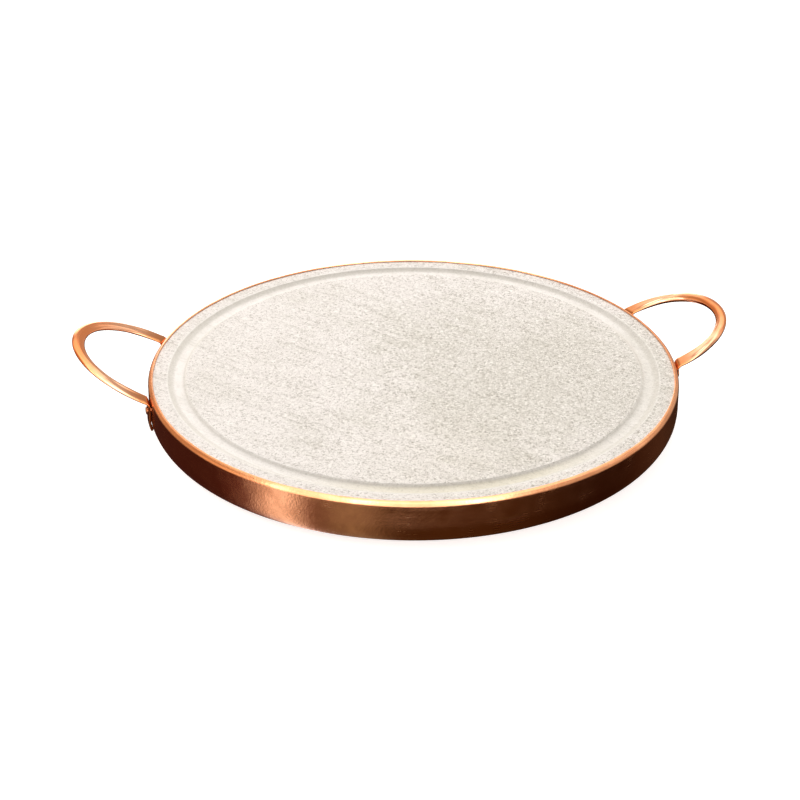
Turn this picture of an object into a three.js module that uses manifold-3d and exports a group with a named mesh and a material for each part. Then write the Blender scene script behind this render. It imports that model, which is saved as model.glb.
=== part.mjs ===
// Round soapstone baking pan: a turned stone disc held in a copper band, with two copper tube handles.
// Millimetres. The origin is the centre of the stone's underside and +Z points up. The Y axis runs
// midway between the two handles: the left one points towards -X, the right one towards +X.

import * as THREE from 'three';
import { mergeVertices } from 'three/addons/utils/BufferGeometryUtils.js';
import Module from 'manifold-3d';

const wasm = await Module();
wasm.setup();

const degrees = THREE.MathUtils.degToRad;

// Clearance wherever one piece wraps, rests on or passes through another
const FIT_GAP = 0.3;

// Stone disc and its baking face, with a shallow groove turned just inside the edge
const STONE_THICKNESS = 32.6;
const GROOVE_DIAMETER = 324.6;
const GROOVE_WIDTH = 12;
const GROOVE_DEPTH = 2;
const GROOVE_OUTER_RUN = 3.4;
const GROOVE_INNER_RUN = 1.5;
const FOOT_CHAMFER = 1;

// Copper band: one strip of sheet, turned over the stone's top edge and well in under its bottom edge
const BAND_DIAMETER = 350;
const SHEET = 1;
const SHOULDER_RADIUS = 3.6;
const LIP_FLAT = 0.5;
const HEEL_RADIUS = 16;
const HEEL_TURN = degrees(84);
const FOOT_STAND = 0.6;

// The strip's two ends meet at the back, where a tongue of one end laps over the other
const SEAM_AZIMUTH = degrees(90);
const SEAM_GAP = 0.4;
const TONGUE_LENGTH = 18;
const TONGUE_HEIGHT = 11.4;
const TONGUE_ROOT = 8;

// Handles: tube bent to a bow and squeezed oval, its ends pressed flat and turned down as tabs
const HANDLE_SPREAD = degrees(160);
const TUBE_WALL = 0.8;
const TAB_SLIT = 0.4;
const TAB_WIDTH = 10.4;
const TAB_DROP = 23;
const BEND_DROP = 5.5;
const BEND_RADIUS = 4.5;
const FLARE_LENGTH = 26;
const BOW_FULLNESS = 0.58;
const LEFT_HANDLE = { span: 88, bow: 52.2, tilt: degrees(24.6), width: 9.1, height: 4.5 };
const RIGHT_HANDLE = { span: 83, bow: 45.7, tilt: degrees(18.7), width: 7.6, height: 5.9 };

// Rivets: one through each tab and two through the lap. Their inner heads sit in a recess of the stone.
const TAB_RIVET = { shank: 1.5, head: 2.8, dome: 0.8, innerHead: 2.4, innerHeight: 0.7 };
const SEAM_RIVET = { shank: 1.2, head: 2.3, dome: 0.7, innerHead: 2, innerHeight: 0.6 };
const SEAM_RIVET_SPACING = 7.4;
const RECESS_MARGIN = 1;

// Facets
const ROUND_STEPS = 80;
const TUBE_SIDES = 14;
const RIVET_SIDES = 12;

// Sizes that follow from the ones above
const bandRadius = BAND_DIAMETER / 2;
const stoneRadius = bandRadius - SHEET - FIT_GAP;
const shoulder = new THREE.Vector2(
  bandRadius - SHOULDER_RADIUS,
  STONE_THICKNESS + FIT_GAP + SHEET - SHOULDER_RADIUS,
);
const heel = new THREE.Vector2(bandRadius - HEEL_RADIUS, FOOT_STAND + HEEL_RADIUS);
const rivetZ = (shoulder.y + heel.y) / 2;
const tabThickness = 2 * TUBE_WALL + TAB_SLIT;
const tabRadius = bandRadius + FIT_GAP + tabThickness / 2;
const handles = [
  { side: 'left', azimuth: (Math.PI + HANDLE_SPREAD) / 2, ...LEFT_HANDLE },
  { side: 'right', azimuth: (Math.PI - HANDLE_SPREAD) / 2, ...RIGHT_HANDLE },
];

// Points on an arc in the (radius, height) plane, both ends included
function arc(centre, radius, from, to, steps) {
  return Array.from({ length: steps + 1 }, (_, i) => {
    const angle = THREE.MathUtils.lerp(from, to, i / steps);
    return new THREE.Vector2(centre.x + radius * Math.cos(angle), centre.y + radius * Math.sin(angle));
  });
}

// Shared vertices only, without the slivers that a lathe leaves on its axis
function welded(geometry) {
  const bare = new THREE.BufferGeometry();
  bare.setAttribute('position', geometry.getAttribute('position'));
  bare.setIndex(geometry.getIndex());
  const merged = mergeVertices(bare, 1e-5);
  const index = merged.getIndex().array;
  const kept = [];
  for (let i = 0; i < index.length; i += 3) {
    const [a, b, c] = index.slice(i, i + 3);
    if (a !== b && b !== c && c !== a) {
      kept.push(a, b, c);
    }
  }
  merged.setIndex(kept);
  return merged;
}

function toSolid(geometry) {
  const merged = welded(geometry);
  return new wasm.Manifold(new wasm.Mesh({
    numProp: 3,
    vertProperties: Float32Array.from(merged.getAttribute('position').array),
    triVerts: Uint32Array.from(merged.getIndex().array),
  }));
}

function toGeometry(solid) {
  const { vertProperties, triVerts } = solid.getMesh();
  const geometry = new THREE.BufferGeometry();
  geometry.setAttribute('position', new THREE.BufferAttribute(vertProperties, 3));
  geometry.setIndex(new THREE.BufferAttribute(triVerts, 1));
  geometry.computeVertexNormals();
  return geometry;
}

// A profile in the (radius, height) plane turned about the Z axis
function turned(profile, steps) {
  return new THREE.LatheGeometry(profile, steps).rotateX(Math.PI / 2);
}

function stoneProfile() {
  const seatRadius = HEEL_RADIUS - SHEET - FIT_GAP;
  const footRadius = heel.x + (HEEL_RADIUS - SHEET) * Math.cos(HEEL_TURN) - FIT_GAP;
  const seatEnd = -Math.acos((footRadius - heel.x) / seatRadius);
  const recessFloor = bandRadius - SHEET - 2 * FIT_GAP - TAB_RIVET.innerHeight;
  const recessHalf = TAB_RIVET.innerHead + RECESS_MARGIN;
  const edgeRadius = SHOULDER_RADIUS - SHEET - FIT_GAP;
  const grooveOuter = GROOVE_DIAMETER / 2;
  const grooveInner = grooveOuter - GROOVE_WIDTH;
  const grooveZ = STONE_THICKNESS - GROOVE_DEPTH;
  return [
    new THREE.Vector2(0, 0),
    new THREE.Vector2(footRadius - FOOT_CHAMFER, 0),
    new THREE.Vector2(footRadius, FOOT_CHAMFER),
    ...arc(heel, seatRadius, seatEnd, 0, 7),
    new THREE.Vector2(stoneRadius, rivetZ - recessHalf),
    new THREE.Vector2(recessFloor, rivetZ - recessHalf),
    new THREE.Vector2(recessFloor, rivetZ + recessHalf),
    new THREE.Vector2(stoneRadius, rivetZ + recessHalf),
    ...arc(shoulder, edgeRadius, 0, Math.PI / 2, 4),
    new THREE.Vector2(grooveOuter, STONE_THICKNESS),
    new THREE.Vector2(grooveOuter - GROOVE_OUTER_RUN, grooveZ),
    new THREE.Vector2(grooveInner + GROOVE_INNER_RUN, grooveZ),
    new THREE.Vector2(grooveInner, STONE_THICKNESS),
    new THREE.Vector2(0, STONE_THICKNESS),
  ];
}

function bandProfile() {
  const crownZ = shoulder.y + SHOULDER_RADIUS;
  const lipEnd = shoulder.x - LIP_FLAT;
  const outside = [
    ...arc(heel, HEEL_RADIUS, -HEEL_TURN, 0, 8),
    ...arc(shoulder, SHOULDER_RADIUS, 0, Math.PI / 2, 5),
    new THREE.Vector2(lipEnd, crownZ),
  ];
  const inside = [
    new THREE.Vector2(lipEnd, crownZ - SHEET),
    ...arc(shoulder, SHOULDER_RADIUS - SHEET, Math.PI / 2, 0, 4),
    ...arc(heel, HEEL_RADIUS - SHEET, 0, -HEEL_TURN, 7),
  ];
  return [...outside, ...inside, outside[0]];
}

// A point at a radius and a distance along the band from its seam
function besideSeam(radius, along) {
  const angle = SEAM_AZIMUTH + along / bandRadius;
  return new THREE.Vector2(radius * Math.cos(angle), radius * Math.sin(angle));
}

// The tongue rises out of the wall on one side of the seam and lies on the wall on the other side
function tongue() {
  const buried = bandRadius - SHEET / 2;
  const under = bandRadius + FIT_GAP;
  const over = under + SHEET;
  const rootEnd = -TONGUE_ROOT / 4;
  const steps = 9;
  const outside = Array.from({ length: steps + 1 }, (_, i) => (
    besideSeam(over, THREE.MathUtils.lerp(-TONGUE_ROOT / 2, TONGUE_LENGTH, i / steps))
  ));
  const inside = Array.from({ length: steps + 1 }, (_, i) => (
    besideSeam(under, THREE.MathUtils.lerp(TONGUE_LENGTH, rootEnd, i / steps))
  ));
  const outline = [besideSeam(buried, -TONGUE_ROOT), ...outside, ...inside, besideSeam(buried, rootEnd)];
  const plate = new THREE.ExtrudeGeometry(new THREE.Shape(outline.reverse()), {
    depth: TONGUE_HEIGHT,
    bevelEnabled: false,
  });
  return plate.translate(0, 0, rivetZ - TONGUE_HEIGHT / 2);
}

// Unit vector that points straight out from the pan's axis
function outward(azimuth) {
  return new THREE.Vector3(Math.cos(azimuth), Math.sin(azimuth), 0);
}

// A round hole drilled towards the pan's axis, cut out of a solid
function drilled(solid, azimuth, radius) {
  const length = 4 * (tabThickness + SHEET);
  const drill = new THREE.CylinderGeometry(radius, radius, length, RIVET_SIDES);
  const direction = outward(azimuth);
  const turn = new THREE.Quaternion().setFromUnitVectors(THREE.Object3D.DEFAULT_UP, direction);
  const centre = direction.multiplyScalar(bandRadius).setZ(rivetZ);
  drill.applyQuaternion(turn).translate(centre.x, centre.y, centre.z);
  return solid.subtract(toSolid(drill));
}

// Azimuths of the rivets that close the band
function seamRivetAzimuths() {
  const middle = TONGUE_LENGTH / 2;
  return [-0.5, 0.5].map((side) => SEAM_AZIMUTH + (middle + side * SEAM_RIVET_SPACING) / bandRadius);
}

// How far a handle's feet stand to either side of its own direction
function footAngle({ span }) {
  return Math.asin(span / 2 / tabRadius);
}

function bandGeometry() {
  const slit = new THREE.BoxGeometry(HEEL_RADIUS * 3, SEAM_GAP, STONE_THICKNESS * 3);
  slit.translate(bandRadius, 0, 0).rotateZ(SEAM_AZIMUTH);
  let band = toSolid(turned(bandProfile(), ROUND_STEPS)).subtract(toSolid(slit)).add(toSolid(tongue()));
  for (const azimuth of seamRivetAzimuths()) {
    band = drilled(band, azimuth, SEAM_RIVET.shank + FIT_GAP);
  }
  for (const handle of handles) {
    for (const side of [-1, 1]) {
      band = drilled(band, handle.azimuth + side * footAngle(handle), TAB_RIVET.shank + FIT_GAP);
    }
  }
  return toGeometry(band);
}

// One cross-section of a handle. Flare 0 is the tube pressed flat, flare 1 the oval of the bow.
function handleRing(centre, tangent, across, flare, tip = 1) {
  const width = across.clone().addScaledVector(tangent, -across.dot(tangent)).normalize();
  const thickness = new THREE.Vector3().crossVectors(tangent, width);
  return { centre, width, thickness, flare, tip };
}

// Rings of the tab, from its rounded tip up the heel and the wall of the band
function tabRings(handle) {
  const out = outward(footAngle(handle));
  const along = new THREE.Vector3(-out.y, out.x, 0);
  const up = new THREE.Vector3(0, 0, 1);
  const radius = tabRadius - heel.x;
  const lowest = Math.asin((STONE_THICKNESS - TAB_DROP - heel.y) / radius);
  const tipWidths = [0.55, 0.86, 1];
  const curve = [0, 0.1, 0.3, 0.65, 1].map((share, i) => {
    const angle = THREE.MathUtils.lerp(lowest, 0, share);
    const centre = out.clone().multiplyScalar(heel.x + radius * Math.cos(angle));
    centre.z = heel.y + radius * Math.sin(angle);
    const tangent = up.clone().multiplyScalar(Math.cos(angle)).addScaledVector(out, -Math.sin(angle));
    return handleRing(centre, tangent, along, 0, tipWidths[i] ?? 1);
  });
  const bendZ = STONE_THICKNESS - BEND_DROP;
  const straight = [rivetZ, bendZ].map((z) => (
    handleRing(out.clone().multiplyScalar(tabRadius).setZ(z), up, along, 0)
  ));
  return [...curve, ...straight];
}

// Rings of the bend that turns the flat strip from the wall into the tilted plane of the bow
function bendRings(tab, tilt) {
  const out = new THREE.Vector3(1, 0, 0);
  const lateral = new THREE.Vector3(0, 1, 0);
  const steps = 5;
  const turn = Math.PI / 2 - tilt;
  return Array.from({ length: steps }, (_, i) => {
    const angle = turn * (i + 1) / steps;
    const lean = 1 - Math.cos(angle);
    const centre = tab.centre.clone().addScaledVector(out, BEND_RADIUS * lean);
    centre.z += BEND_RADIUS * Math.sin(angle);
    const tangent = new THREE.Vector3(Math.sin(angle), 0, Math.cos(angle));
    const across = tab.width.clone().lerp(lateral, lean / (1 - Math.cos(turn)));
    return handleRing(centre, tangent, across, 0);
  });
}

// Rings of half the bow, from the end of the bend to the bow's middle
function bowRings(bend, { bow, tilt }) {
  const away = new THREE.Vector3(Math.cos(tilt), 0, Math.sin(tilt));
  const normal = new THREE.Vector3(-Math.sin(tilt), 0, Math.cos(tilt));
  const half = bend.centre.y;
  const plan = new THREE.CubicBezierCurve(
    new THREE.Vector2(0, half),
    new THREE.Vector2(BOW_FULLNESS * bow, half),
    new THREE.Vector2(bow, BOW_FULLNESS * half),
    new THREE.Vector2(bow, 0),
  );
  const steps = 17;
  const length = plan.getLength();
  const start = bend.centre.clone().setY(0);
  return Array.from({ length: steps }, (_, i) => {
    const share = (i + 1) / steps;
    const point = plan.getPointAt(share);
    const slope = plan.getTangentAt(share);
    const centre = start.clone().addScaledVector(away, point.x).setY(point.y);
    const tangent = away.clone().multiplyScalar(slope.x).setY(slope.y);
    const across = new THREE.Vector3().crossVectors(normal, tangent);
    return handleRing(centre, tangent, across, THREE.MathUtils.smoothstep(share * length, 0, FLARE_LENGTH));
  });
}

function mirrored({ centre, width, thickness, ...rest }) {
  const flip = new THREE.Vector3(1, -1, 1);
  return {
    centre: centre.clone().multiply(flip),
    width: width.clone().multiply(flip),
    thickness: thickness.clone().multiply(flip),
    ...rest,
  };
}

// Points around a ring: a rounded oblong on the flat tab, an ellipse on the bow
function ringPoints(ring, handle, inset) {
  const { lerp } = THREE.MathUtils;
  const halfWidth = lerp(TAB_WIDTH, handle.width, ring.flare) / 2 * ring.tip - inset;
  const halfThickness = lerp(tabThickness, handle.height, ring.flare) / 2 - inset;
  const power = 2 / lerp(4, 2, ring.flare);
  const rounded = (value) => Math.sign(value) * Math.abs(value) ** power;
  return Array.from({ length: TUBE_SIDES }, (_, i) => {
    const angle = 2 * Math.PI * i / TUBE_SIDES;
    return ring.centre.clone()
      .addScaledVector(ring.width, halfWidth * rounded(Math.cos(angle)))
      .addScaledVector(ring.thickness, halfThickness * rounded(Math.sin(angle)));
  });
}

// Tube wall between an outer and an inner skin, open at both ends through the slit of the tabs
function handleGeometry(handle) {
  const tab = tabRings(handle);
  const bend = bendRings(tab.at(-1), handle.tilt);
  const half = [...tab, ...bend, ...bowRings(bend.at(-1), handle)];
  const rings = [...half, ...half.slice(0, -1).reverse().map(mirrored)];
  const skins = [0, TUBE_WALL].map((inset) => rings.map((ring) => ringPoints(ring, handle, inset)));
  const points = skins.flat(2);
  const vertex = (skin, ring, side) => (skin * rings.length + ring) * TUBE_SIDES + side % TUBE_SIDES;
  const faces = [];
  const quad = (a, b, c, d) => faces.push(a, b, c, a, c, d);
  const last = rings.length - 1;
  for (let side = 0; side < TUBE_SIDES; side += 1) {
    for (let ring = 0; ring < last; ring += 1) {
      quad(
        vertex(0, ring, side),
        vertex(0, ring, side + 1),
        vertex(0, ring + 1, side + 1),
        vertex(0, ring + 1, side),
      );
      quad(
        vertex(1, ring, side),
        vertex(1, ring + 1, side),
        vertex(1, ring + 1, side + 1),
        vertex(1, ring, side + 1),
      );
    }
    quad(vertex(0, 0, side), vertex(1, 0, side), vertex(1, 0, side + 1), vertex(0, 0, side + 1));
    quad(vertex(0, last, side), vertex(0, last, side + 1), vertex(1, last, side + 1), vertex(1, last, side));
  }
  const geometry = new THREE.BufferGeometry().setFromPoints(points);
  geometry.setIndex(faces);
  let tube = toSolid(geometry);
  for (const side of [-1, 1]) {
    tube = drilled(tube, side * footAngle(handle), TAB_RIVET.shank + FIT_GAP);
  }
  return toGeometry(tube);
}

// A rivet along its own Y axis: a flat inner head, the shank and a low domed outer head
function rivetGeometry(rivet, stack) {
  const innerTop = bandRadius - SHEET - FIT_GAP;
  const outerSeat = bandRadius + stack + FIT_GAP;
  const domeSteps = 3;
  const dome = Array.from({ length: domeSteps + 1 }, (_, i) => {
    const angle = Math.PI / 2 * i / domeSteps;
    return new THREE.Vector2(rivet.head * Math.cos(angle), outerSeat + rivet.dome * Math.sin(angle));
  });
  dome.at(-1).x = 0;
  return welded(new THREE.LatheGeometry([
    new THREE.Vector2(0, innerTop - rivet.innerHeight),
    new THREE.Vector2(rivet.innerHead, innerTop - rivet.innerHeight),
    new THREE.Vector2(rivet.innerHead, innerTop),
    new THREE.Vector2(rivet.shank, innerTop),
    new THREE.Vector2(rivet.shank, outerSeat),
    ...dome,
  ], RIVET_SIDES));
}

const stoneFinish = new THREE.MeshStandardMaterial({ color: '#e4dfd6', roughness: 0.85, metalness: 0 });
const bandFinish = new THREE.MeshStandardMaterial({ color: '#a9562f', roughness: 0.34, metalness: 1 });
const tubeFinish = new THREE.MeshStandardMaterial({ color: '#d0793c', roughness: 0.27, metalness: 1 });
const rivetFinish = new THREE.MeshStandardMaterial({ color: '#bd6b3b', roughness: 0.38, metalness: 1 });

function piece(name, geometry, finish) {
  const mesh = new THREE.Mesh(geometry, finish.clone());
  mesh.name = name;
  return mesh;
}

// A rivet's mesh, laid with its axis straight out from the pan's axis
function rivetPiece(name, rivet, stack, azimuth) {
  const mesh = piece(name, rivetGeometry(rivet, stack), rivetFinish);
  mesh.quaternion.setFromUnitVectors(THREE.Object3D.DEFAULT_UP, outward(azimuth));
  mesh.position.z = rivetZ;
  return mesh;
}

// A handle with the rivets through its two tabs, in a group turned to the handle's direction
function handleGroup(handle) {
  const { side, azimuth } = handle;
  const group = new THREE.Group();
  group.rotation.z = azimuth;
  group.add(piece(`handle_${side}`, handleGeometry(handle), tubeFinish));
  const stack = FIT_GAP + tabThickness;
  const backFoot = Math.sign(Math.cos(azimuth)) * footAngle(handle);
  group.add(rivetPiece(`rivet_${side}_back`, TAB_RIVET, stack, backFoot));
  group.add(rivetPiece(`rivet_${side}_front`, TAB_RIVET, stack, -backFoot));
  return group;
}

const pan = new THREE.Group();
pan.add(piece('stone_disc', welded(turned(stoneProfile(), ROUND_STEPS)), stoneFinish));
pan.add(piece('copper_band', bandGeometry(), bandFinish));
handles.forEach((handle) => pan.add(handleGroup(handle)));
seamRivetAzimuths().forEach((azimuth, i) => {
  pan.add(rivetPiece(`seam_rivet_${i + 1}`, SEAM_RIVET, FIT_GAP + SHEET, azimuth));
});

export default pan;
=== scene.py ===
"""Looks of a round soapstone baking pan: a turned stone disc in a copper band, with two tube handles.

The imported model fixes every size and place. This script dresses it with finer meshes and procedural
finishes, sets it on a pale floor in soft studio light and looks at it from the photograph's angle.
Lengths are metres and +Z is up.
"""

import logging
import math
from collections.abc import Callable, Iterable
from dataclasses import dataclass, field
from enum import Enum

import bmesh
import bpy
from mathutils import Matrix, Quaternion, Vector, noise


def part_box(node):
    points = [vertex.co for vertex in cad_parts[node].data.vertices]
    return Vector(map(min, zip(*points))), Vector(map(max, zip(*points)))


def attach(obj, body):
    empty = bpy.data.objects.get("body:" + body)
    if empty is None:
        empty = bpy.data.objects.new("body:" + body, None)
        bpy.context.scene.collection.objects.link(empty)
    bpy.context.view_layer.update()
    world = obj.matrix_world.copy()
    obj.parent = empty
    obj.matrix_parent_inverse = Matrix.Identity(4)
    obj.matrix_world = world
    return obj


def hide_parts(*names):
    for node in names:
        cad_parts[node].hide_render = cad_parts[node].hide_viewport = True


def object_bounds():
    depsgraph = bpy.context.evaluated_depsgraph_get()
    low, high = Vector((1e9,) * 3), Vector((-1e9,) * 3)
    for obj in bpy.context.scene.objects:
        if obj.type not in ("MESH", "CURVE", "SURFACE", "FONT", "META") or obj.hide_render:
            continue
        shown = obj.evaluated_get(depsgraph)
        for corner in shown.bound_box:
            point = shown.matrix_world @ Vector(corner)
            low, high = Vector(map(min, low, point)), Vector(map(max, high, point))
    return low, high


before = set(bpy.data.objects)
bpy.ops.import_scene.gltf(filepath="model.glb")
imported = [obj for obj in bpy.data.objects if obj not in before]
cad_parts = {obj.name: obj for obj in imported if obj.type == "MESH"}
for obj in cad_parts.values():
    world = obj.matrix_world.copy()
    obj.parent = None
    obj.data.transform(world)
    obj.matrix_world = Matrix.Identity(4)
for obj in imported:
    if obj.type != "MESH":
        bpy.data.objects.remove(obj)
cad_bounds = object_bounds()

log = logging.getLogger("baking_pan")

BODY = "root"

# Sockets of the Mix node when it mixes colours
MIX_FACTOR = 0
MIX_A = 6
MIX_B = 7
MIX_RESULT = 2

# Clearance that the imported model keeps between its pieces
FIT_GAP = 0.0003

# Angle between two faces past which their common edge stays sharp
SHARP_ANGLE = math.radians(42)

# Points closer than this are one point
WELD_DISTANCE = 1e-6

# A place in a plane, a stretch from one value to another, and a value each way
Point = tuple[float, float]
Span = tuple[float, float]
Triple = tuple[float, float, float]
Tree = bpy.types.NodeTree
Socket = bpy.types.NodeSocket
Material = bpy.types.Material
Piece = bpy.types.Object


class Slot(Enum):
    """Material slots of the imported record."""

    STONE = "soapstone"
    SHEET = "copper_sheet"
    TUBE = "copper_tube"
    RIVET = "copper_rivet"


class Side(Enum):
    """Which handle, and the way it points along X."""

    LEFT = -1
    RIGHT = 1


def linear(code: str) -> tuple[float, float, float, float]:
    """Turns an sRGB hex colour into linear light.

    Args:
        code: Six hex digits after a hash sign.

    Returns:
        Red, green, blue and an alpha of 1.
    """
    channels = [int(code[i:i + 2], 16) / 255 for i in (1, 3, 5)]
    light = [c / 12.92 if c <= 0.04045 else ((c + 0.055) / 1.055) ** 2.4 for c in channels]
    return (*light, 1.0)


def smoothstep(value: float, low: float, high: float) -> float:
    """Rises smoothly from 0 at low to 1 at high."""
    share = min(max((value - low) / (high - low), 0.0), 1.0)
    return share * share * (3 - 2 * share)


def lerp(a: float, b: float, share: float) -> float:
    """Goes from a to b as the share goes from 0 to 1."""
    return a + (b - a) * share


def add_node(tree: Tree, kind: str, links: dict[int | str, object] | None = None,
             take: int | str = 0, **settings: object) -> Socket | None:
    """Adds a node with its settings and links.

    Args:
        tree: The tree that gets the node.
        kind: The node's type name.
        links: For each input, by name or index, the socket that feeds it or the value it holds.
        take: Name or index of the output that is wanted.
        settings: The node's own properties.

    Returns:
        That output, or None where the node is the tree's end.
    """
    node = tree.nodes.new(kind)
    for name, value in settings.items():
        setattr(node, name, value)
    for place, source in (links or {}).items():
        if isinstance(source, Socket):
            tree.links.new(source, node.inputs[place])
        else:
            node.inputs[place].default_value = source
    return node.outputs[take] if node.outputs else None


def layered(tree: Tree, base: str, layers: Iterable[tuple[Socket, str, str]]) -> Socket:
    """Lays tones over a base colour, each over those before it.

    Args:
        tree: The tree that gets the nodes.
        base: Hex code of the base colour.
        layers: Share, hex code and blend type of each tone.

    Returns:
        The colour that comes of it.
    """
    colour = linear(base)
    for share, tone, blend in layers:
        colour = add_node(tree, "ShaderNodeMix", {
            MIX_FACTOR: share,
            MIX_A: colour,
            MIX_B: linear(tone),
        }, MIX_RESULT, data_type="RGBA", blend_type=blend)
    return colour


def distance_from_axis(tree: Tree, place: Socket) -> Socket:
    """Adds the distance of a place from the pan's axis."""
    level = add_node(tree, "ShaderNodeVectorMath", {0: place, 1: (1, 1, 0)}, operation="MULTIPLY")
    return add_node(tree, "ShaderNodeVectorMath", {0: level}, "Value", operation="LENGTH")


def empty_material(name: str) -> Material:
    """Starts a material whose node tree is empty.

    Args:
        name: What the material is.

    Returns:
        The material.
    """
    finish = bpy.data.materials.new(name)
    finish.use_nodes = True
    finish.node_tree.nodes.clear()
    return finish


def arc(centre: Point, radius: float, start: float, end: float, steps: int) -> list[Point]:
    """Lays points on an arc of a section, ends included; angles are in degrees, 0 outwards and 90 up."""
    angles = [math.radians(lerp(start, end, i / steps)) for i in range(steps + 1)]
    return [(centre[0] + radius * math.cos(a), centre[1] + radius * math.sin(a)) for a in angles]


def filleted(corners: list[Triple], steps: int) -> list[Point]:
    """Rounds the corners of a section.

    Args:
        corners: Distance from the axis, height and rounding radius of each corner, 0 where it stays sharp.
        steps: How many chords each rounding has.

    Returns:
        The section's points.
    """
    points: list[Point] = []
    for i, (x, y, radius) in enumerate(corners):
        if radius == 0:
            points.append((x, y))
            continue
        corner = Vector((x, y))
        before = (Vector(corners[i - 1][:2]) - corner).normalized()
        after = (Vector(corners[i + 1][:2]) - corner).normalized()
        half = before.angle(after) / 2
        middle = (before + after).normalized()
        centre = corner + middle * (radius / math.sin(half))
        spoke = corner + before * (radius / math.tan(half)) - centre
        turn = before.angle_signed(after)
        sweep = math.copysign(math.pi - abs(turn), turn)
        for k in range(steps + 1):
            points.append(tuple(centre + Matrix.Rotation(sweep * k / steps, 2) @ spoke))
    return points


def spaced(start: Point, end: Point, count: int) -> list[Point]:
    """Lays points evenly between two points of a section, both left out."""
    shares = [i / (count + 1) for i in range(1, count + 1)]
    return [(lerp(start[0], end[0], s), lerp(start[1], end[1], s)) for s in shares]


def mesh_object(name: str, mesh: bpy.types.Mesh) -> Piece:
    """Puts a mesh into the scene as an object at the origin.

    Args:
        name: The object's name.
        mesh: The mesh.

    Returns:
        The object.
    """
    made = bpy.data.objects.new(name, mesh)
    bpy.context.scene.collection.objects.link(made)
    return made


def section_object(name: str, points: list[Point], path_radius: float, closed: bool,
                   give: Callable[[float, float], float]) -> Piece:
    """Makes a section for turning, as a string of edges.

    Args:
        name: The object's name.
        points: Distance from the axis and height of each point.
        path_radius: Radius of the circle that the section is carried along.
        closed: Whether the last point joins the first.
        give: How far inwards the hand work may have pushed a point, from its place.

    Returns:
        The section, ready for the turning tree.
    """
    places = [(r - path_radius, -z, 0.0) for r, z in points]
    edges = [(i, i + 1) for i in range(len(points) - 1)]
    if closed:
        edges.append((len(points) - 1, 0))
    mesh = bpy.data.meshes.new(name)
    mesh.from_pydata(places, edges, [])
    gives = mesh.attributes.new("give", "FLOAT", "POINT")
    gives.data.foreach_set("value", [give(r, z) for r, z in points])
    return mesh_object(name, mesh)


def start_tree(name: str, inputs: dict[str, str]) -> Tree:
    """Starts a Geometry Nodes tree.

    Args:
        name: The tree's name.
        inputs: Socket type of each named input that follows the geometry.

    Returns:
        The tree, with its inputs and its output declared.
    """
    tree = bpy.data.node_groups.new(name, "GeometryNodeTree")
    tree.interface.new_socket("Geometry", in_out="INPUT", socket_type="NodeSocketGeometry")
    for label, kind in inputs.items():
        tree.interface.new_socket(label, in_out="INPUT", socket_type=kind)
    tree.interface.new_socket("Geometry", in_out="OUTPUT", socket_type="NodeSocketGeometry")
    return tree


def make_plain(piece: Piece) -> Piece:
    """Turns an object's modifiers into a plain mesh of its own.

    Args:
        piece: The object.

    Returns:
        The same object, without modifiers.
    """
    depsgraph = bpy.context.evaluated_depsgraph_get()
    mesh = bpy.data.meshes.new_from_object(
        piece.evaluated_get(depsgraph), preserve_all_data_layers=True, depsgraph=depsgraph
    )
    mesh.name = piece.name
    piece.modifiers.clear()
    piece.data = mesh
    return piece


def run_tree(piece: Piece, tree: Tree, values: dict[str, object]) -> Piece:
    """Runs a Geometry Nodes tree on an object and keeps the result as a plain mesh.

    Args:
        piece: The object that the tree starts from.
        tree: The tree.
        values: Value of each named input.

    Returns:
        The object with its new mesh.
    """
    modifier = piece.modifiers.new(tree.name, "NODES")
    modifier.node_group = tree
    sockets = {s.name: s.identifier for s in tree.interface.items_tree if s.in_out == "INPUT"}
    for label, value in values.items():
        modifier[sockets[label]] = value
    return make_plain(piece)


def tidy_surface(piece: Piece) -> Piece:
    """Welds a mesh, points its faces outwards and shades it smooth up to the sharp edges.

    Args:
        piece: The object with the mesh.

    Returns:
        The same object.
    """
    shape = bmesh.new()
    shape.from_mesh(piece.data)
    bmesh.ops.remove_doubles(shape, verts=shape.verts, dist=WELD_DISTANCE)
    bmesh.ops.recalc_face_normals(shape, faces=shape.faces)
    shape.to_mesh(piece.data)
    shape.free()
    piece.data.shade_smooth()
    piece.data.set_sharp_from_angle(angle=SHARP_ANGLE)
    return piece


def combined(piece: Piece, tool: Piece, operation: str) -> Piece:
    """Cuts or joins a piece with a tool object, which is used up.

    Args:
        piece: The piece that is worked on.
        tool: The object that cuts it or joins it.
        operation: DIFFERENCE or UNION.

    Returns:
        The piece with its new mesh.
    """
    modifier = piece.modifiers.new(tool.name, "BOOLEAN")
    modifier.operation = operation
    modifier.solver = "EXACT"
    modifier.object = tool
    make_plain(piece)
    bpy.data.objects.remove(tool)
    return piece


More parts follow.
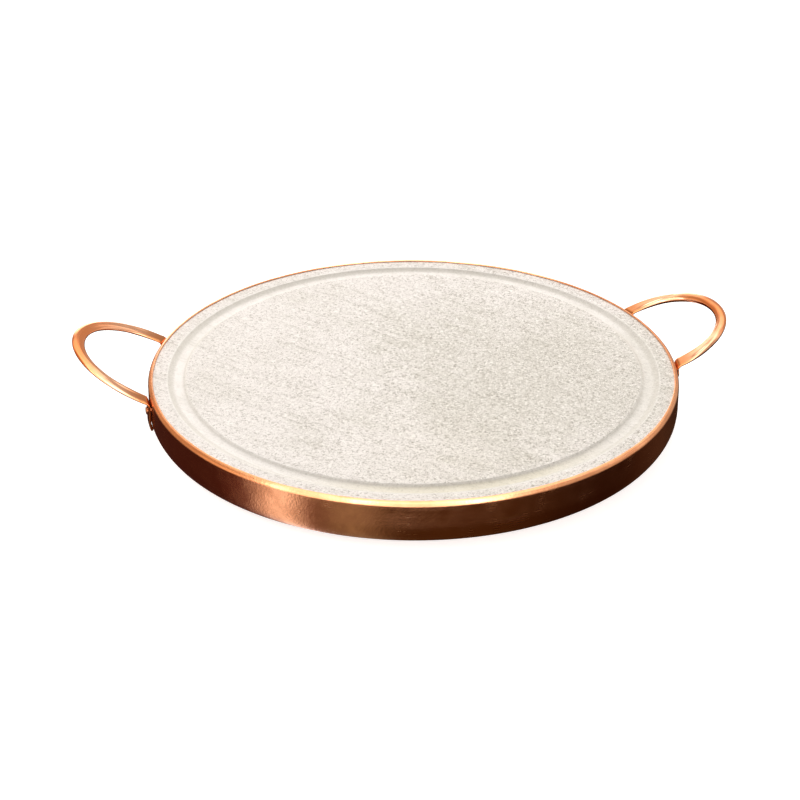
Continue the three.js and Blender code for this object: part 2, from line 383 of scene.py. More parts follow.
def skin_object(name: str, skins: list[list[list[Vector]]]) -> Piece:
    """Joins rings of points into a closed tube wall.

    Args:
        name: The object's name.
        skins: One skin for a solid bar, or an outer and an inner one for a tube, each a list of rings.

    Returns:
        The object. Its UV map gives metres along and around the tube.
    """
    shape = bmesh.new()
    uv_layer = shape.loops.layers.uv.new("along_and_around")
    sides = len(skins[0][0])
    along = [0.0]
    centres = [sum(ring, Vector()) / sides for ring in skins[0]]
    for a, b in zip(centres, centres[1:]):
        along.append(along[-1] + (b - a).length)
    middle = skins[0][len(skins[0]) // 2]
    step = sum((middle[k] - middle[k - 1]).length for k in range(sides)) / sides
    outer_ends = ()
    for skin in skins:
        rings = [[shape.verts.new(point) for point in ring] for ring in skin]
        for i in range(len(rings) - 1):
            for k in range(sides):
                n = (k + 1) % sides
                face = shape.faces.new((rings[i][k], rings[i][n], rings[i + 1][n], rings[i + 1][k]))
                corners = ((i, k), (i, k + 1), (i + 1, k + 1), (i + 1, k))
                for loop, (row, column) in zip(face.loops, corners):
                    loop[uv_layer].uv = (along[row], column * step)
        if len(skins) == 1:
            shape.faces.new(rings[0])
            shape.faces.new(list(reversed(rings[-1])))
        elif skin is skins[0]:
            outer_ends = (rings[0], rings[-1])
        else:
            for outer, inner in zip(outer_ends, (rings[0], rings[-1])):
                for k in range(sides):
                    n = (k + 1) % sides
                    shape.faces.new((outer[k], outer[n], inner[n], inner[k]))
    mesh = bpy.data.meshes.new(name)
    shape.to_mesh(mesh)
    shape.free()
    return tidy_surface(mesh_object(name, mesh))


def outward(azimuth: float) -> Vector:
    """Gives the level unit vector that points away from the pan's axis at an azimuth."""
    return Vector((math.cos(azimuth), math.sin(azimuth), 0.0))


def drills(azimuths: list[float], radius: float, distance: float, height: float) -> Piece:
    """Makes round cutters that point at the pan's axis.

    Args:
        azimuths: Where the holes go.
        radius: The holes' radius.
        distance: Distance of the cutters' middles from the pan's axis.
        height: Height of the holes.

    Returns:
        One object with all the cutters.
    """
    length = 0.014
    sides = 32
    shape = bmesh.new()
    for azimuth in azimuths:
        turn = outward(azimuth).to_track_quat("Z", "Y").to_matrix().to_4x4()
        place = Matrix.Translation(outward(azimuth) * distance + Vector((0, 0, height))) @ turn
        bmesh.ops.create_cone(
            shape, cap_ends=True, segments=sides, radius1=radius, radius2=radius, depth=length, matrix=place
        )
    mesh = bpy.data.meshes.new("rivet_holes")
    shape.to_mesh(mesh)
    shape.free()
    return mesh_object("rivet_holes", mesh)


def hand_over(piece: Piece, nodes: list[str]) -> None:
    """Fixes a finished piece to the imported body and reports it.

    Args:
        piece: The finished piece.
        nodes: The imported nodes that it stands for.
    """
    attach(piece, BODY)
    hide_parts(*nodes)
    piece.data.calc_loop_triangles()
    triangles = len(piece.data.loop_triangles)
    log.info("%s: %d triangles, stands for %s", piece.name, triangles, ", ".join(nodes))


class TurningTree:
    """Geometry Nodes tree that carries a section round the pan's axis, as a lathe or a roller does."""

    def __init__(self) -> None:
        """Builds the tree once for all the turned pieces."""
        self.tree = start_tree("turned_section", {
            "Path Radius": "NodeSocketFloat",
            "Start Angle": "NodeSocketFloat",
            "Sweep Angle": "NodeSocketFloat",
            "Full Turn": "NodeSocketBool",
            "Steps": "NodeSocketInt",
            "Unevenness Size": "NodeSocketFloat",
            "Seed": "NodeSocketFloat",
            "Finish": "NodeSocketMaterial",
        })
        tree = self.tree
        given = add_node(tree, "NodeGroupInput").node.outputs
        section = add_node(tree, "GeometryNodeMeshToCurve", {"Mesh": given["Geometry"]})
        path = add_node(tree, "GeometryNodeCurveArc", {
            "Resolution": given["Steps"],
            "Radius": given["Path Radius"],
            "Start Angle": given["Start Angle"],
            "Sweep Angle": given["Sweep Angle"],
        }, mode="RADIUS")
        joined = add_node(tree, "GeometryNodeSetSplineCyclic", {
            "Geometry": path,
            "Cyclic": given["Full Turn"],
        })
        level_path = add_node(tree, "GeometryNodeSetCurveNormal", {"Curve": joined}, mode="Z_UP")
        swept = add_node(tree, "GeometryNodeCurveToMesh", {
            "Curve": level_path,
            "Profile Curve": section,
            "Fill Caps": True,
        })
        welded = add_node(tree, "GeometryNodeMergeByDistance", {
            "Geometry": swept,
            "Distance": WELD_DISTANCE,
        })
        moved = add_node(tree, "GeometryNodeSetPosition", {
            "Geometry": welded,
            "Offset": self._unevenness(given),
        })
        real = add_node(tree, "GeometryNodeRealizeInstances", {"Geometry": moved})
        dressed = add_node(tree, "GeometryNodeSetMaterial", {"Geometry": real, "Material": given["Finish"]})
        add_node(tree, "NodeGroupOutput", {"Geometry": dressed})

    def _unevenness(self, given: bpy.types.bpy_prop_collection) -> Socket:
        """Adds the small inward push of hand work, which each section point's give allows.

        Args:
            given: The tree's input sockets.

        Returns:
            The socket with the offset of each point.
        """
        tree = self.tree
        place = add_node(tree, "GeometryNodeInputPosition")
        level = add_node(tree, "ShaderNodeVectorMath", {0: place, 1: (1, 1, 0)}, operation="MULTIPLY")
        out = add_node(tree, "ShaderNodeVectorMath", {0: level}, operation="NORMALIZE")
        scale = add_node(tree, "ShaderNodeMath", {0: 1.0, 1: given["Unevenness Size"]}, operation="DIVIDE")
        waves = add_node(tree, "ShaderNodeTexNoise", {
            "Vector": place,
            "W": given["Seed"],
            "Scale": scale,
            "Detail": 2.0,
        }, noise_dimensions="4D")
        give = add_node(tree, "GeometryNodeInputNamedAttribute", {"Name": "give"}, data_type="FLOAT")
        push = add_node(tree, "ShaderNodeMath", {0: give, 1: waves}, operation="MULTIPLY")
        inward = add_node(tree, "ShaderNodeMath", {0: push, 1: -1.0}, operation="MULTIPLY")
        offset = add_node(tree, "ShaderNodeVectorMath", {0: out, "Scale": inward}, operation="SCALE")
        return offset

    def turn(self, section: Piece, path_radius: float, finish: Material, steps: int,
             unevenness_size: float, seed: float, gap: float = 0.0, gap_azimuth: float = 0.0) -> Piece:
        """Turns a section into a piece.

        Args:
            section: The section's object.
            path_radius: The radius that the section was laid out for.
            finish: The piece's material.
            steps: Number of segments round the pan.
            unevenness_size: Length of the waves of the hand work.
            seed: Picks the waves.
            gap: Width of the slit that is left open, or 0 for a full turn.
            gap_azimuth: Where the slit is.

        Returns:
            The turned piece, as a plain mesh.
        """
        gap_angle = gap / path_radius if gap else 2 * math.pi / steps
        piece = run_tree(section, self.tree, {
            "Path Radius": path_radius,
            "Start Angle": gap_azimuth + gap_angle / 2,
            "Sweep Angle": 2 * math.pi - gap_angle,
            "Full Turn": gap == 0,
            "Steps": steps + 1 if gap else steps,
            "Unevenness Size": unevenness_size,
            "Seed": seed,
            "Finish": finish,
        })
        return tidy_surface(piece)


@dataclass(frozen=True)
class TurnedSoapstone:
    """Soapstone, sawn and turned on a lathe: matt, pale grey to beige, with a fine two-tone grain."""

    pale: str = "#e7dfd8"
    veil: str = "#d3ccc1"
    dark_grain: str = "#9c9284"
    light_grain: str = "#fbf6ee"
    fleck: str = "#7d7060"
    front_tone: str = "#f4f2e6"
    saw_mark: str = "#c3baab"
    cloud_size: float = 0.05
    streak_size: float = 0.0065
    streak_stretch: float = 8.0
    streak_angle: float = math.radians(-48)
    scratch_width: float = 0.0026
    scratch_stretch: float = 14.0
    # Middle and reach of the part where the colour is a shade darker
    darker_centre: Triple = (0.077, -0.015, 0.0326)
    darker_reach: float = 0.16
    # Distances from that middle between which the grain grows fainter
    calm_reach: Span = (0.1, 0.25)
    # Middle and reach of the part near the front that is yellower, and darker on the groove's floor
    front_tone_centre: Triple = (0.01, -0.13, 0.0326)
    front_tone_reach: float = 0.12
    front_tone_cloud_size: float = 0.0333
    # How strongly that tone shows on the face, and what the groove's floor adds to its clouds
    face_front_tone: float = 0.4
    floor_front_tone: float = 3.4
    grain_size: float = 0.0006
    coarse_grain_size: float = 0.0015
    pore_size: float = 0.00238
    fleck_spacing: float = 0.011
    saw_spacing: float = 0.004
    # Height above the foot up to which the saw's marks were left
    saw_height: float = 0.0008
    # The turning tool's rings, drawn further apart than real ones, so that the picture shows them
    tool_spacing: float = 0.0012
    groove_inner: float = 0.1503
    groove_outer: float = 0.1623
    # Inner and outer end of the groove's whiter floor
    floor_start: float = 0.1518
    floor_end: float = 0.1582
    groove_fade: float = 0.0012
    # How far the groove's floor is whitened, partly as scoured stone and partly as painted light, and how
    # far painted shade greys its walls
    scour_and_painted_light: float = 0.26
    painted_wall_shade: float = 0.75
    # Width and size of the groove edges' whitening, partly wear and partly painted highlight
    edge_wear_and_highlight_width: float = 0.0009
    edge_wear_and_highlight_size: float = 0.00385
    ior: float = 1.57

    def material(self) -> Material:
        """Builds the stone's material.

        Returns:
            The material.
        """
        finish = empty_material("turned_soapstone")
        tree = finish.node_tree
        place = add_node(tree, "ShaderNodeTexCoord", take="Object")
        radius = distance_from_axis(tree, place)
        in_groove = self._ring(tree, radius, self.groove_inner, self.groove_outer)
        on_floor = self._ring(tree, radius, self.floor_start, self.floor_end)
        on_wall = add_node(tree, "ShaderNodeMath", {0: in_groove, 1: on_floor}, operation="SUBTRACT")
        # The floor's whitening is partly scour and partly painted light; the walls' veil is painted shade
        scour_and_painted_light, painted_wall_shade = [
            add_node(tree, "ShaderNodeMath", {0: where, 1: strength}, operation="MULTIPLY")
            for where, strength in ((on_floor, self.scour_and_painted_light), (on_wall, self.painted_wall_shade))
        ]
        clouds = self._clouds(tree, place)
        grain = self._grain(tree, place)
        dark, light = self._grains(tree, grain, self._calm(tree, place, in_groove))
        inner_edge, outer_edge = self._worn_and_highlit_edges(tree, place, radius)
        sawn = self._saw_marks(tree, place)
        colour = layered(tree, self.pale, (
            (self._veils(tree, place, clouds), self.veil, "MIX"),
            (self._scratches(tree, place, clouds), self.dark_grain, "MIX"),
            # Painted light, with scour, on the groove's floor; painted shade on its walls
            (scour_and_painted_light, self.light_grain, "MIX"),
            (painted_wall_shade, self.veil, "MIX"),
            (dark, self.dark_grain, "MIX"),
            (light, self.light_grain, "MIX"),
            (self._front_tone_share(tree, place, on_floor), self.front_tone, "MULTIPLY"),
            (self._flecks(tree, place), self.fleck, "MIX"),
            # Whitened groove edges: partly wear, partly painted highlight
            (inner_edge, self.light_grain, "MIX"),
            (outer_edge, self.light_grain, "MIX"),
            (sawn, self.saw_mark, "MIX"),
        ))
        matt = add_node(tree, "ShaderNodeMapRange", {"Value": grain, "To Min": 0.92, "To Max": 0.74})
        surface = add_node(tree, "ShaderNodeBsdfPrincipled", {
            "Base Color": colour,
            "Roughness": matt,
            "IOR": self.ior,
            "Normal": self._relief(tree, place, grain, radius, sawn),
        })
        add_node(tree, "ShaderNodeOutputMaterial", {"Surface": surface})
        return finish

    def _ring(self, tree: Tree, radius: Socket, inner: float, outer: float) -> Socket:
        """Adds a mask that is 1 between two distances from the pan's axis and fades at both.

        Args:
            tree: The material's tree.
            radius: The distance from the axis.
            inner: Where the ring starts.
            outer: Where it ends.

        Returns:
            The mask.
        """
        middle = (inner + outer) / 2
        half = (outer - inner) / 2
        off = add_node(tree, "ShaderNodeMath", {0: radius, 1: middle}, operation="SUBTRACT")
        away = add_node(tree, "ShaderNodeMath", {0: off}, operation="ABSOLUTE")
        return add_node(tree, "ShaderNodeMapRange", {
            "Value": away,
            "From Min": half + self.groove_fade,
            "From Max": half - self.groove_fade,
        }, interpolation_type="SMOOTHSTEP")

    def _grain(self, tree: Tree, place: Socket) -> Socket:
        """Adds the grain: coarse grains, with a lesser share of fine ones between them.

        Args:
            tree: The material's tree.
            place: The place in the stone.

        Returns:
            The grain, from 0 in the dark grains to 1 in the light ones.
        """
        fine = add_node(tree, "ShaderNodeTexNoise", {
            "Vector": place,
            "Scale": 1 / self.grain_size,
            "Detail": 3.0,
            "Roughness": 0.62,
            "Distortion": 0.5,
        })
        coarse = add_node(tree, "ShaderNodeTexNoise", {
            "Vector": place,
            "Scale": 1 / self.coarse_grain_size,
            "Detail": 2.0,
            "Distortion": 1.2,
        })
        fine_share = 0.35
        both = add_node(tree, "ShaderNodeMath", {
            0: fine,
            1: fine_share,
            2: coarse,
        }, operation="MULTIPLY_ADD")
        return add_node(tree, "ShaderNodeMapRange", {"Value": both, "From Min": 0.48, "From Max": 0.87})

    def _clouds(self, tree: Tree, place: Socket) -> Socket:
        """Adds the soft clouds, which the veils and the scratches follow.

        Args:
            tree: The material's tree.
            place: The place in the stone.

        Returns:
            The clouds, around 0.5.
        """
        return add_node(tree, "ShaderNodeTexNoise", {
            "Vector": place,
            "Scale": 1 / self.cloud_size,
            "Detail": 5.0,
            "Roughness": 0.6,
            "Distortion": 0.4,
        })

    def _along_streaks(self, tree: Tree, place: Socket, stretch: float) -> Socket:
        """Turns the place to run along the streaks and squeezes it, so that a pattern on it is drawn out.

        Args:
            tree: The material's tree.
            place: The place in the stone.
            stretch: How many times longer than wide the pattern gets.

        Returns:
            The squeezed place.
        """
        turned = add_node(tree, "ShaderNodeMapping", {
            "Vector": place,
            "Rotation": (0, 0, -self.streak_angle),
        })
        return add_node(tree, "ShaderNodeVectorMath", {
            0: turned,
            1: (1 / stretch, 1, 1),
        }, operation="MULTIPLY")

    def _from_darker_middle(self, tree: Tree, place: Socket) -> Socket:
        """Adds the distance from the middle of the darker part."""
        ends = {0: place, 1: self.darker_centre}
        return add_node(tree, "ShaderNodeVectorMath", ends, "Value", operation="DISTANCE")

    def _veils(self, tree: Tree, place: Socket, clouds: Socket) -> Socket:
        """Adds the darker veils: clouds with streaks that run one way, denser in one part of the disc.

        Args:
            tree: The material's tree.
            place: The place in the stone.
            clouds: The clouds.

        Returns:
            The veils' share.
        """
        streaks = add_node(tree, "ShaderNodeTexNoise", {
            "Vector": self._along_streaks(tree, place, self.streak_stretch),
            "Scale": 1 / self.streak_size,
            "Detail": 4.0,
            "Roughness": 0.65,
        })
        share = 0.9
        both = add_node(tree, "ShaderNodeMath", {0: streaks, 1: share, 2: clouds}, operation="MULTIPLY_ADD")
        darker_part = add_node(tree, "ShaderNodeMapRange", {
            "Value": self._from_darker_middle(tree, place),
            "From Min": self.darker_reach,
            "From Max": self.darker_reach / 5,
            "To Min": -0.16,
            "To Max": 0.24,
        }, interpolation_type="SMOOTHSTEP")
        return add_node(tree, "ShaderNodeMapRange", {
            "Value": add_node(tree, "ShaderNodeMath", {0: darker_part, 1: both}, operation="ADD"),
            "From Min": 0.66,
            "From Max": 1.3,
        }, interpolation_type="SMOOTHSTEP")

    def _scratches(self, tree: Tree, place: Socket, clouds: Socket) -> Socket:
        """Adds faint scratches along the streaks, more of them in the clouds.

        Args:
            tree: The material's tree.
            place: The place in the stone.
            clouds: The clouds.

        Returns:
            The scratches' share.
        """
        drawn = add_node(tree, "ShaderNodeTexNoise", {
            "Vector": self._along_streaks(tree, place, self.scratch_stretch),
            "Scale": 1 / self.scratch_width,
            "Detail": 3.0,
            "Roughness": 0.55,
        })
        marked = add_node(tree, "ShaderNodeMapRange", {
            "Value": drawn,
            "From Min": 0.52,
            "From Max": 0.72,
            "To Max": 0.5,
        })
        return add_node(tree, "ShaderNodeMath", {0: marked, 1: clouds}, operation="MULTIPLY")

    def _calm(self, tree: Tree, place: Socket, in_groove: Socket) -> Socket:
        """Adds how strongly the grain shows: least in the smooth groove, less in the paler stone.

        Args:
            tree: The material's tree.
            place: The place in the stone.
            in_groove: The groove's mask.

        Returns:
            The strength, 1 where the grain shows in full.
        """
        smooth = add_node(tree, "ShaderNodeMapRange", {"Value": in_groove, "To Min": 1.0, "To Max": 0.3})
        paler = add_node(tree, "ShaderNodeMapRange", {
            "Value": self._from_darker_middle(tree, place),
            "From Min": self.calm_reach[0],
            "From Max": self.calm_reach[1],
            "To Min": 1.0,
            "To Max": 0.62,
        })
        return add_node(tree, "ShaderNodeMath", {0: smooth, 1: paler}, operation="MULTIPLY")

    def _grains(self, tree: Tree, grain: Socket, calm: Socket) -> list[Socket]:
        """Picks out the dark grains and the light ones.

        Args:
            tree: The material's tree.
            grain: The grain.
            calm: How strongly the grain shows.

        Returns:
            The share of the dark grains and that of the light ones.
        """
        shares = []
        for start, full, strength in ((0.42, 0.05, 0.92), (0.55, 1.0, 0.8)):
            shown = add_node(tree, "ShaderNodeMapRange", {
                "Value": grain,
                "From Min": start,
                "From Max": full,
                "To Max": strength,
            })
            shares.append(add_node(tree, "ShaderNodeMath", {0: shown, 1: calm}, operation="MULTIPLY"))
        return shares

    def _front_tone_share(self, tree: Tree, place: Socket, on_floor: Socket) -> Socket:
        """Adds a yellower, darker tone near the front, faintly in clouds and more in the groove.

        Args:
            tree: The material's tree.
            place: The place in the stone.
            on_floor: The mask of the groove's floor.

        Returns:
            The tone's share.
        """
        ends = {0: place, 1: self.front_tone_centre}
        away = add_node(tree, "ShaderNodeVectorMath", ends, "Value", operation="DISTANCE")
        clouds = add_node(tree, "ShaderNodeTexNoise", {
            "Vector": place,
            "Scale": 1 / self.front_tone_cloud_size,
            "Detail": 4.0,
        })
        near = add_node(tree, "ShaderNodeMapRange", {
            "Value": away,
            "From Min": self.front_tone_reach,
            "From Max": 0.0,
            "To Max": self.face_front_tone,
        }, interpolation_type="SMOOTHSTEP")
        depth = add_node(tree, "ShaderNodeMath", {
            0: on_floor,
            1: self.floor_front_tone,
            2: clouds,
        }, operation="MULTIPLY_ADD")
        return add_node(tree, "ShaderNodeMath", {0: near, 1: depth}, operation="MULTIPLY")

    def _flecks(self, tree: Tree, place: Socket) -> Socket:
        """Adds a few small mineral flecks.

        Args:
            tree: The material's tree.
            place: The place in the stone.

        Returns:
            The flecks' share.
        """
        away = add_node(tree, "ShaderNodeTexVoronoi", {
            "Vector": place,
            "Scale": 1 / self.fleck_spacing,
            "Randomness": 1.0,
        }, "Distance")
        return add_node(tree, "ShaderNodeMapRange", {
            "Value": away,
            "From Min": 0.055,
            "From Max": 0.02,
            "To Max": 0.55,
        }, interpolation_type="SMOOTHSTEP")

    def _worn_and_highlit_edges(self, tree: Tree, place: Socket, radius: Socket) -> list[Socket]:
        """Adds the whitening of the groove's two edges: partly wear, where scraping has bruised the soft
        stone, and partly painted highlight along them.

        Args:
            tree: The material's tree.
            place: The place in the stone.
            radius: The distance from the axis.

        Returns:
            The share of the whitening at the inner edge and that at the outer one.
        """
        broken = add_node(tree, "ShaderNodeTexNoise", {
            "Vector": place,
            "Scale": 1 / self.edge_wear_and_highlight_size,
            "Detail": 3.0,
        })
        shares = []
        for edge in (self.groove_inner, self.groove_outer):
            off = add_node(tree, "ShaderNodeMath", {0: radius, 1: edge}, operation="SUBTRACT")
            near = add_node(tree, "ShaderNodeMapRange", {
                "Value": add_node(tree, "ShaderNodeMath", {0: off}, operation="ABSOLUTE"),
                "From Min": self.edge_wear_and_highlight_width,
                "From Max": 0.0,
                "To Max": 0.7,
            }, interpolation_type="SMOOTHSTEP")
            shares.append(add_node(tree, "ShaderNodeMath", {0: near, 1: broken}, operation="MULTIPLY"))
        return shares

    def _saw_marks(self, tree: Tree, place: Socket) -> Socket:
        """Adds the marks of the saw, straight and uneven, which are left only on the underside.

        Args:
            tree: The material's tree.
            place: The place in the stone.

        Returns:
            How deep the marks are, 0 where there are none.
        """
        parts = add_node(tree, "ShaderNodeSeparateXYZ", {0: place}).node.outputs
        strokes = add_node(tree, "ShaderNodeVectorMath", {
            0: place,
            1: (1 / self.saw_spacing, 0.06 / self.saw_spacing, 0),
        }, operation="MULTIPLY")
        marks = add_node(tree, "ShaderNodeTexNoise", {
            "Vector": strokes,
            "Scale": 1.0,
            "Detail": 4.0,
            "Roughness": 0.65,
        })
        deep = add_node(tree, "ShaderNodeMapRange", {
            "Value": marks,
            "From Min": 0.4,
            "From Max": 0.7,
            "To Max": 0.65,
        }, interpolation_type="SMOOTHSTEP")
        below = add_node(tree, "ShaderNodeMapRange", {
            "Value": parts["Z"],
            "From Min": self.saw_height,
            "From Max": self.saw_height / 4,
        })
        return add_node(tree, "ShaderNodeMath", {0: deep, 1: below}, operation="MULTIPLY")

    def _relief(self, tree: Tree, place: Socket, grain: Socket, radius: Socket, sawn: Socket) -> Socket:
        """Adds the relief: open grain over faint rings from the turning tool, and the saw's marks below.

        Args:
            tree: The material's tree.
            place: The place in the stone.
            grain: The grain.
            radius: The distance from the axis.
            sawn: The saw's marks.

        Returns:
            The surface's normal.
        """
        turn = add_node(tree, "ShaderNodeMath", {
            0: radius,
            1: 2 * math.pi / self.tool_spacing,
        }, operation="MULTIPLY")
        rings = add_node(tree, "ShaderNodeMath", {0: turn}, operation="SINE")
        pores = add_node(tree, "ShaderNodeTexNoise", {
            "Vector": place,
            "Scale": 1 / self.pore_size,
            "Detail": 6.0,
            "Roughness": 0.7,
        })
        normal = None
        layers = (
            (rings, 0.00001, 0.35, False),
            (pores, 0.0002, 0.35, False),
            (sawn, 0.0003, 1.0, True),
            (grain, 0.00009, 0.6, False),
        )
        for height, depth, strength, sunk in layers:
            links = {"Height": height, "Distance": depth, "Strength": strength}
            if normal is not None:
                links["Normal"] = normal
            normal = add_node(tree, "ShaderNodeBump", links, invert=sunk)
        return normal


@dataclass(frozen=True)
class Copper:
    """Bare copper. The kinds of piece differ in colour, in gloss and in the marks of their making."""

    name: str
    bright: str
    tarnish: str
    tarnish_share: float
    tarnish_size: float
    roughness: float
    roughness_play: float
    # Size of the dents and of the fine lines along X, Y and Z, or along and around a tube. The lines are
    # drawn coarser than real ones, so that the picture shows them
    dent_size: Triple
    dent_depth: float
    line_size: Triple
    line_depth: float
    # The speckle of the metal's skin, drawn about twice as coarse as it is, so that the picture shows it
    speckle_size: float = 0.0015
    speckle_depth: float = 0.000012
    handling_size: float = 0.0111
    follows_tube: bool = False
    # Deeper orange of the painted reflection at the bow's far end
    far_bow_reflection_tone: str = "#e28444"
    # Distances from the pan's axis between which the bow's far end takes its painted reflection, a deeper
    # orange; by default they lie off the pan
    far_bow_reflection_reach: Span = (1.0, 1.02)
    # Darker orange of the painted shade near the feet
    foot_shade_tone: str = "#bc7238"
    # The same for the painted shade, a darker orange, near the tube's pressed ends where it meets the band
    foot_shade_reach: Span = (0.0, -0.01)
    # Size of the tints' uneven edge, and how far it wanders
    tint_size: float = 0.0143
    tint_wander: float = 0.012

    def material(self) -> Material:
        """Builds the copper's material.

        Returns:
            The material.
        """
        finish = empty_material(self.name)
        tree = finish.node_tree
        coordinates = add_node(tree, "ShaderNodeTexCoord").node.outputs
        place = coordinates["Object"]
        worked = coordinates["UV"] if self.follows_tube else place
        lines = self._drawn_out(tree, worked, self.line_size, 4.0, 0.6)
        patches = self._patches(tree, place)
        colour = layered(tree, self.bright, (
            (patches, self.tarnish, "MIX"),
            # A painted reflection at the bow's far end, then painted shade near the feet
            (self._tint(tree, place, self.far_bow_reflection_reach), self.far_bow_reflection_tone, "MIX"),
            (self._tint(tree, place, self.foot_shade_reach), self.foot_shade_tone, "MIX"),
        ))
        surface = add_node(tree, "ShaderNodeBsdfPrincipled", {
            "Base Color": colour,
            "Metallic": 1.0,
            "Roughness": self._gloss(tree, place, lines, patches),
            "Normal": self._relief(tree, place, worked, lines),
        })
        add_node(tree, "ShaderNodeOutputMaterial", {"Surface": surface})
        return finish

    def _drawn_out(self, tree: Tree, place: Socket, size: Triple, detail: float, roughness: float) -> Socket:
        """Adds marks with a size of their own each way, such as the lines of rolling, drawing and rubbing.

        Args:
            tree: The material's tree.
            place: The place on the piece, or along and around the tube.
            size: The marks' size each way.
            detail: How many finer marks lie within them.
            roughness: How strong the finer marks are.

        Returns:
            The marks, around 0.5.
        """
        stretched = add_node(tree, "ShaderNodeVectorMath", {
            0: place,
            1: tuple(1 / length for length in size),
        }, operation="MULTIPLY")
        return add_node(tree, "ShaderNodeTexNoise", {
            "Vector": stretched,
            "Scale": 1.0,
            "Detail": detail,
            "Roughness": roughness,
        })

    def _patches(self, tree: Tree, place: Socket) -> Socket:
        """Adds the uneven tarnish.

        Args:
            tree: The material's tree.
            place: The place on the piece.

        Returns:
            The tarnish's share, 0 where the metal is bright.
        """
        spots = add_node(tree, "ShaderNodeTexNoise", {
            "Vector": place,
            "Scale": 1 / self.tarnish_size,
            "Detail": 6.0,
            "Roughness": 0.62,
            "Distortion": 0.8,
        })
        return add_node(tree, "ShaderNodeMapRange", {
            "Value": spots,
            "From Min": 0.38,
            "From Max": 0.7,
            "To Max": self.tarnish_share,
        }, interpolation_type="SMOOTHSTEP")

    def _tint(self, tree: Tree, place: Socket, reach: Span) -> Socket:
        """Adds a tint that sets in unevenly over a stretch of the distance from the pan's axis.

        Args:
            tree: The material's tree.
            place: The place on the piece.
            reach: Distances between which the tint sets in.

        Returns:
            The tint's share.
        """
        uneven = add_node(tree, "ShaderNodeTexNoise", {
            "Vector": place,
            "Scale": 1 / self.tint_size,
            "Detail": 3.0,
        })
        wandering = add_node(tree, "ShaderNodeMath", {
            0: uneven,
            1: self.tint_wander,
            2: distance_from_axis(tree, place),
        }, operation="MULTIPLY_ADD")
        return add_node(tree, "ShaderNodeMapRange", {
            "Value": wandering,
            "From Min": reach[0],
            "From Max": reach[1],
            "To Max": 0.85,
        }, interpolation_type="SMOOTHSTEP")

    def _gloss(self, tree: Tree, place: Socket, lines: Socket, patches: Socket) -> Socket:
        """Adds the roughness: handled smooth in places, duller in the lines and in the tarnish.

        Args:
            tree: The material's tree.
            place: The place on the piece.
            lines: The fine lines.
            patches: The tarnish's share.

        Returns:
            The roughness.
        """
        handling = add_node(tree, "ShaderNodeTexNoise", {
            "Vector": place,
            "Scale": 1 / self.handling_size,
            "Detail": 4.0,
        })
        both = add_node(tree, "ShaderNodeMath", {0: handling, 1: lines}, operation="ADD")
        base = add_node(tree, "ShaderNodeMapRange", {
            "Value": both,
            "From Min": 0.7,
            "From Max": 1.3,
            "To Min": self.roughness - self.roughness_play,
            "To Max": self.roughness + self.roughness_play,
        })
        dulled_by_tarnish = 0.12
        return add_node(tree, "ShaderNodeMath", {
            0: patches,
            1: dulled_by_tarnish,
            2: base,
        }, operation="MULTIPLY_ADD")

    def _relief(self, tree: Tree, place: Socket, worked: Socket, lines: Socket) -> Socket:
        """Adds the relief: shallow dents, or flats along a tube, then the satin speckle and the fine lines.

        Args:
            tree: The material's tree.
            place: The place on the piece.
            worked: The place as the marks of the making follow it.
            lines: The fine lines.

        Returns:
            The surface's normal.
        """
        speckle = add_node(tree, "ShaderNodeTexNoise", {
            "Vector": place,
            "Scale": 1 / self.speckle_size,
            "Detail": 2.0,
        })
        normal = None
        layers = (
            (self._drawn_out(tree, worked, self.dent_size, 1.0, 0.5), self.dent_depth),
            (speckle, self.speckle_depth),
            (lines, self.line_depth),
        )
        for height, depth in layers:
            links = {"Height": height, "Distance": depth, "Strength": 1.0}
            if normal is not None:
                links["Normal"] = normal
            normal = add_node(tree, "ShaderNodeBump", links)
        return normal


# Rolled sheet, burnished to a satin shine: the lines run level round the band
SHEET_COPPER = Copper(
    name="burnished_sheet_copper",
    bright="#f0ae82",
    tarnish="#c67f55",
    tarnish_share=0.45,
    tarnish_size=0.03,
    roughness=0.2,
    roughness_play=0.05,
    dent_size=(0.0303, 0.0303, 0.0303),
    dent_depth=0.00006,
    line_size=(0.04, 0.04, 0.000455),
    line_depth=0.000004,
    speckle_depth=0.00007,
)

# Drawn tube, polished: long soft reflections run along it. Its colour deepens with a painted reflection at
# the bow's far end and with painted shade near the feet
TUBE_COPPER = Copper(
    name="polished_drawn_copper_tube",
    bright="#f4c09e",
    tarnish="#d09068",
    tarnish_share=0.5,
    tarnish_size=0.02,
    roughness=0.1,
    roughness_play=0.04,
    dent_size=(0.0625, 0.00238, 1.0),
    dent_depth=0.0003,
    line_size=(0.025, 0.000667, 1.0),
    line_depth=0.000006,
    follows_tube=True,
    far_bow_reflection_reach=(0.205, 0.225),
    foot_shade_reach=(0.202, 0.184),
)

# Soft copper rivets, their heads beaten over: small facets and a duller, darker skin
RIVET_COPPER = Copper(
    name="hammered_rivet_copper",
    bright="#e6a074",
    tarnish="#9c5a38",
    tarnish_share=0.7,
    tarnish_size=0.004,
    roughness=0.28,
    roughness_play=0.06,
    dent_size=(0.00143, 0.00143, 0.00143),
    dent_depth=0.00009,
    line_size=(0.00111, 0.00111, 0.00111),
    line_depth=0.000006,
)


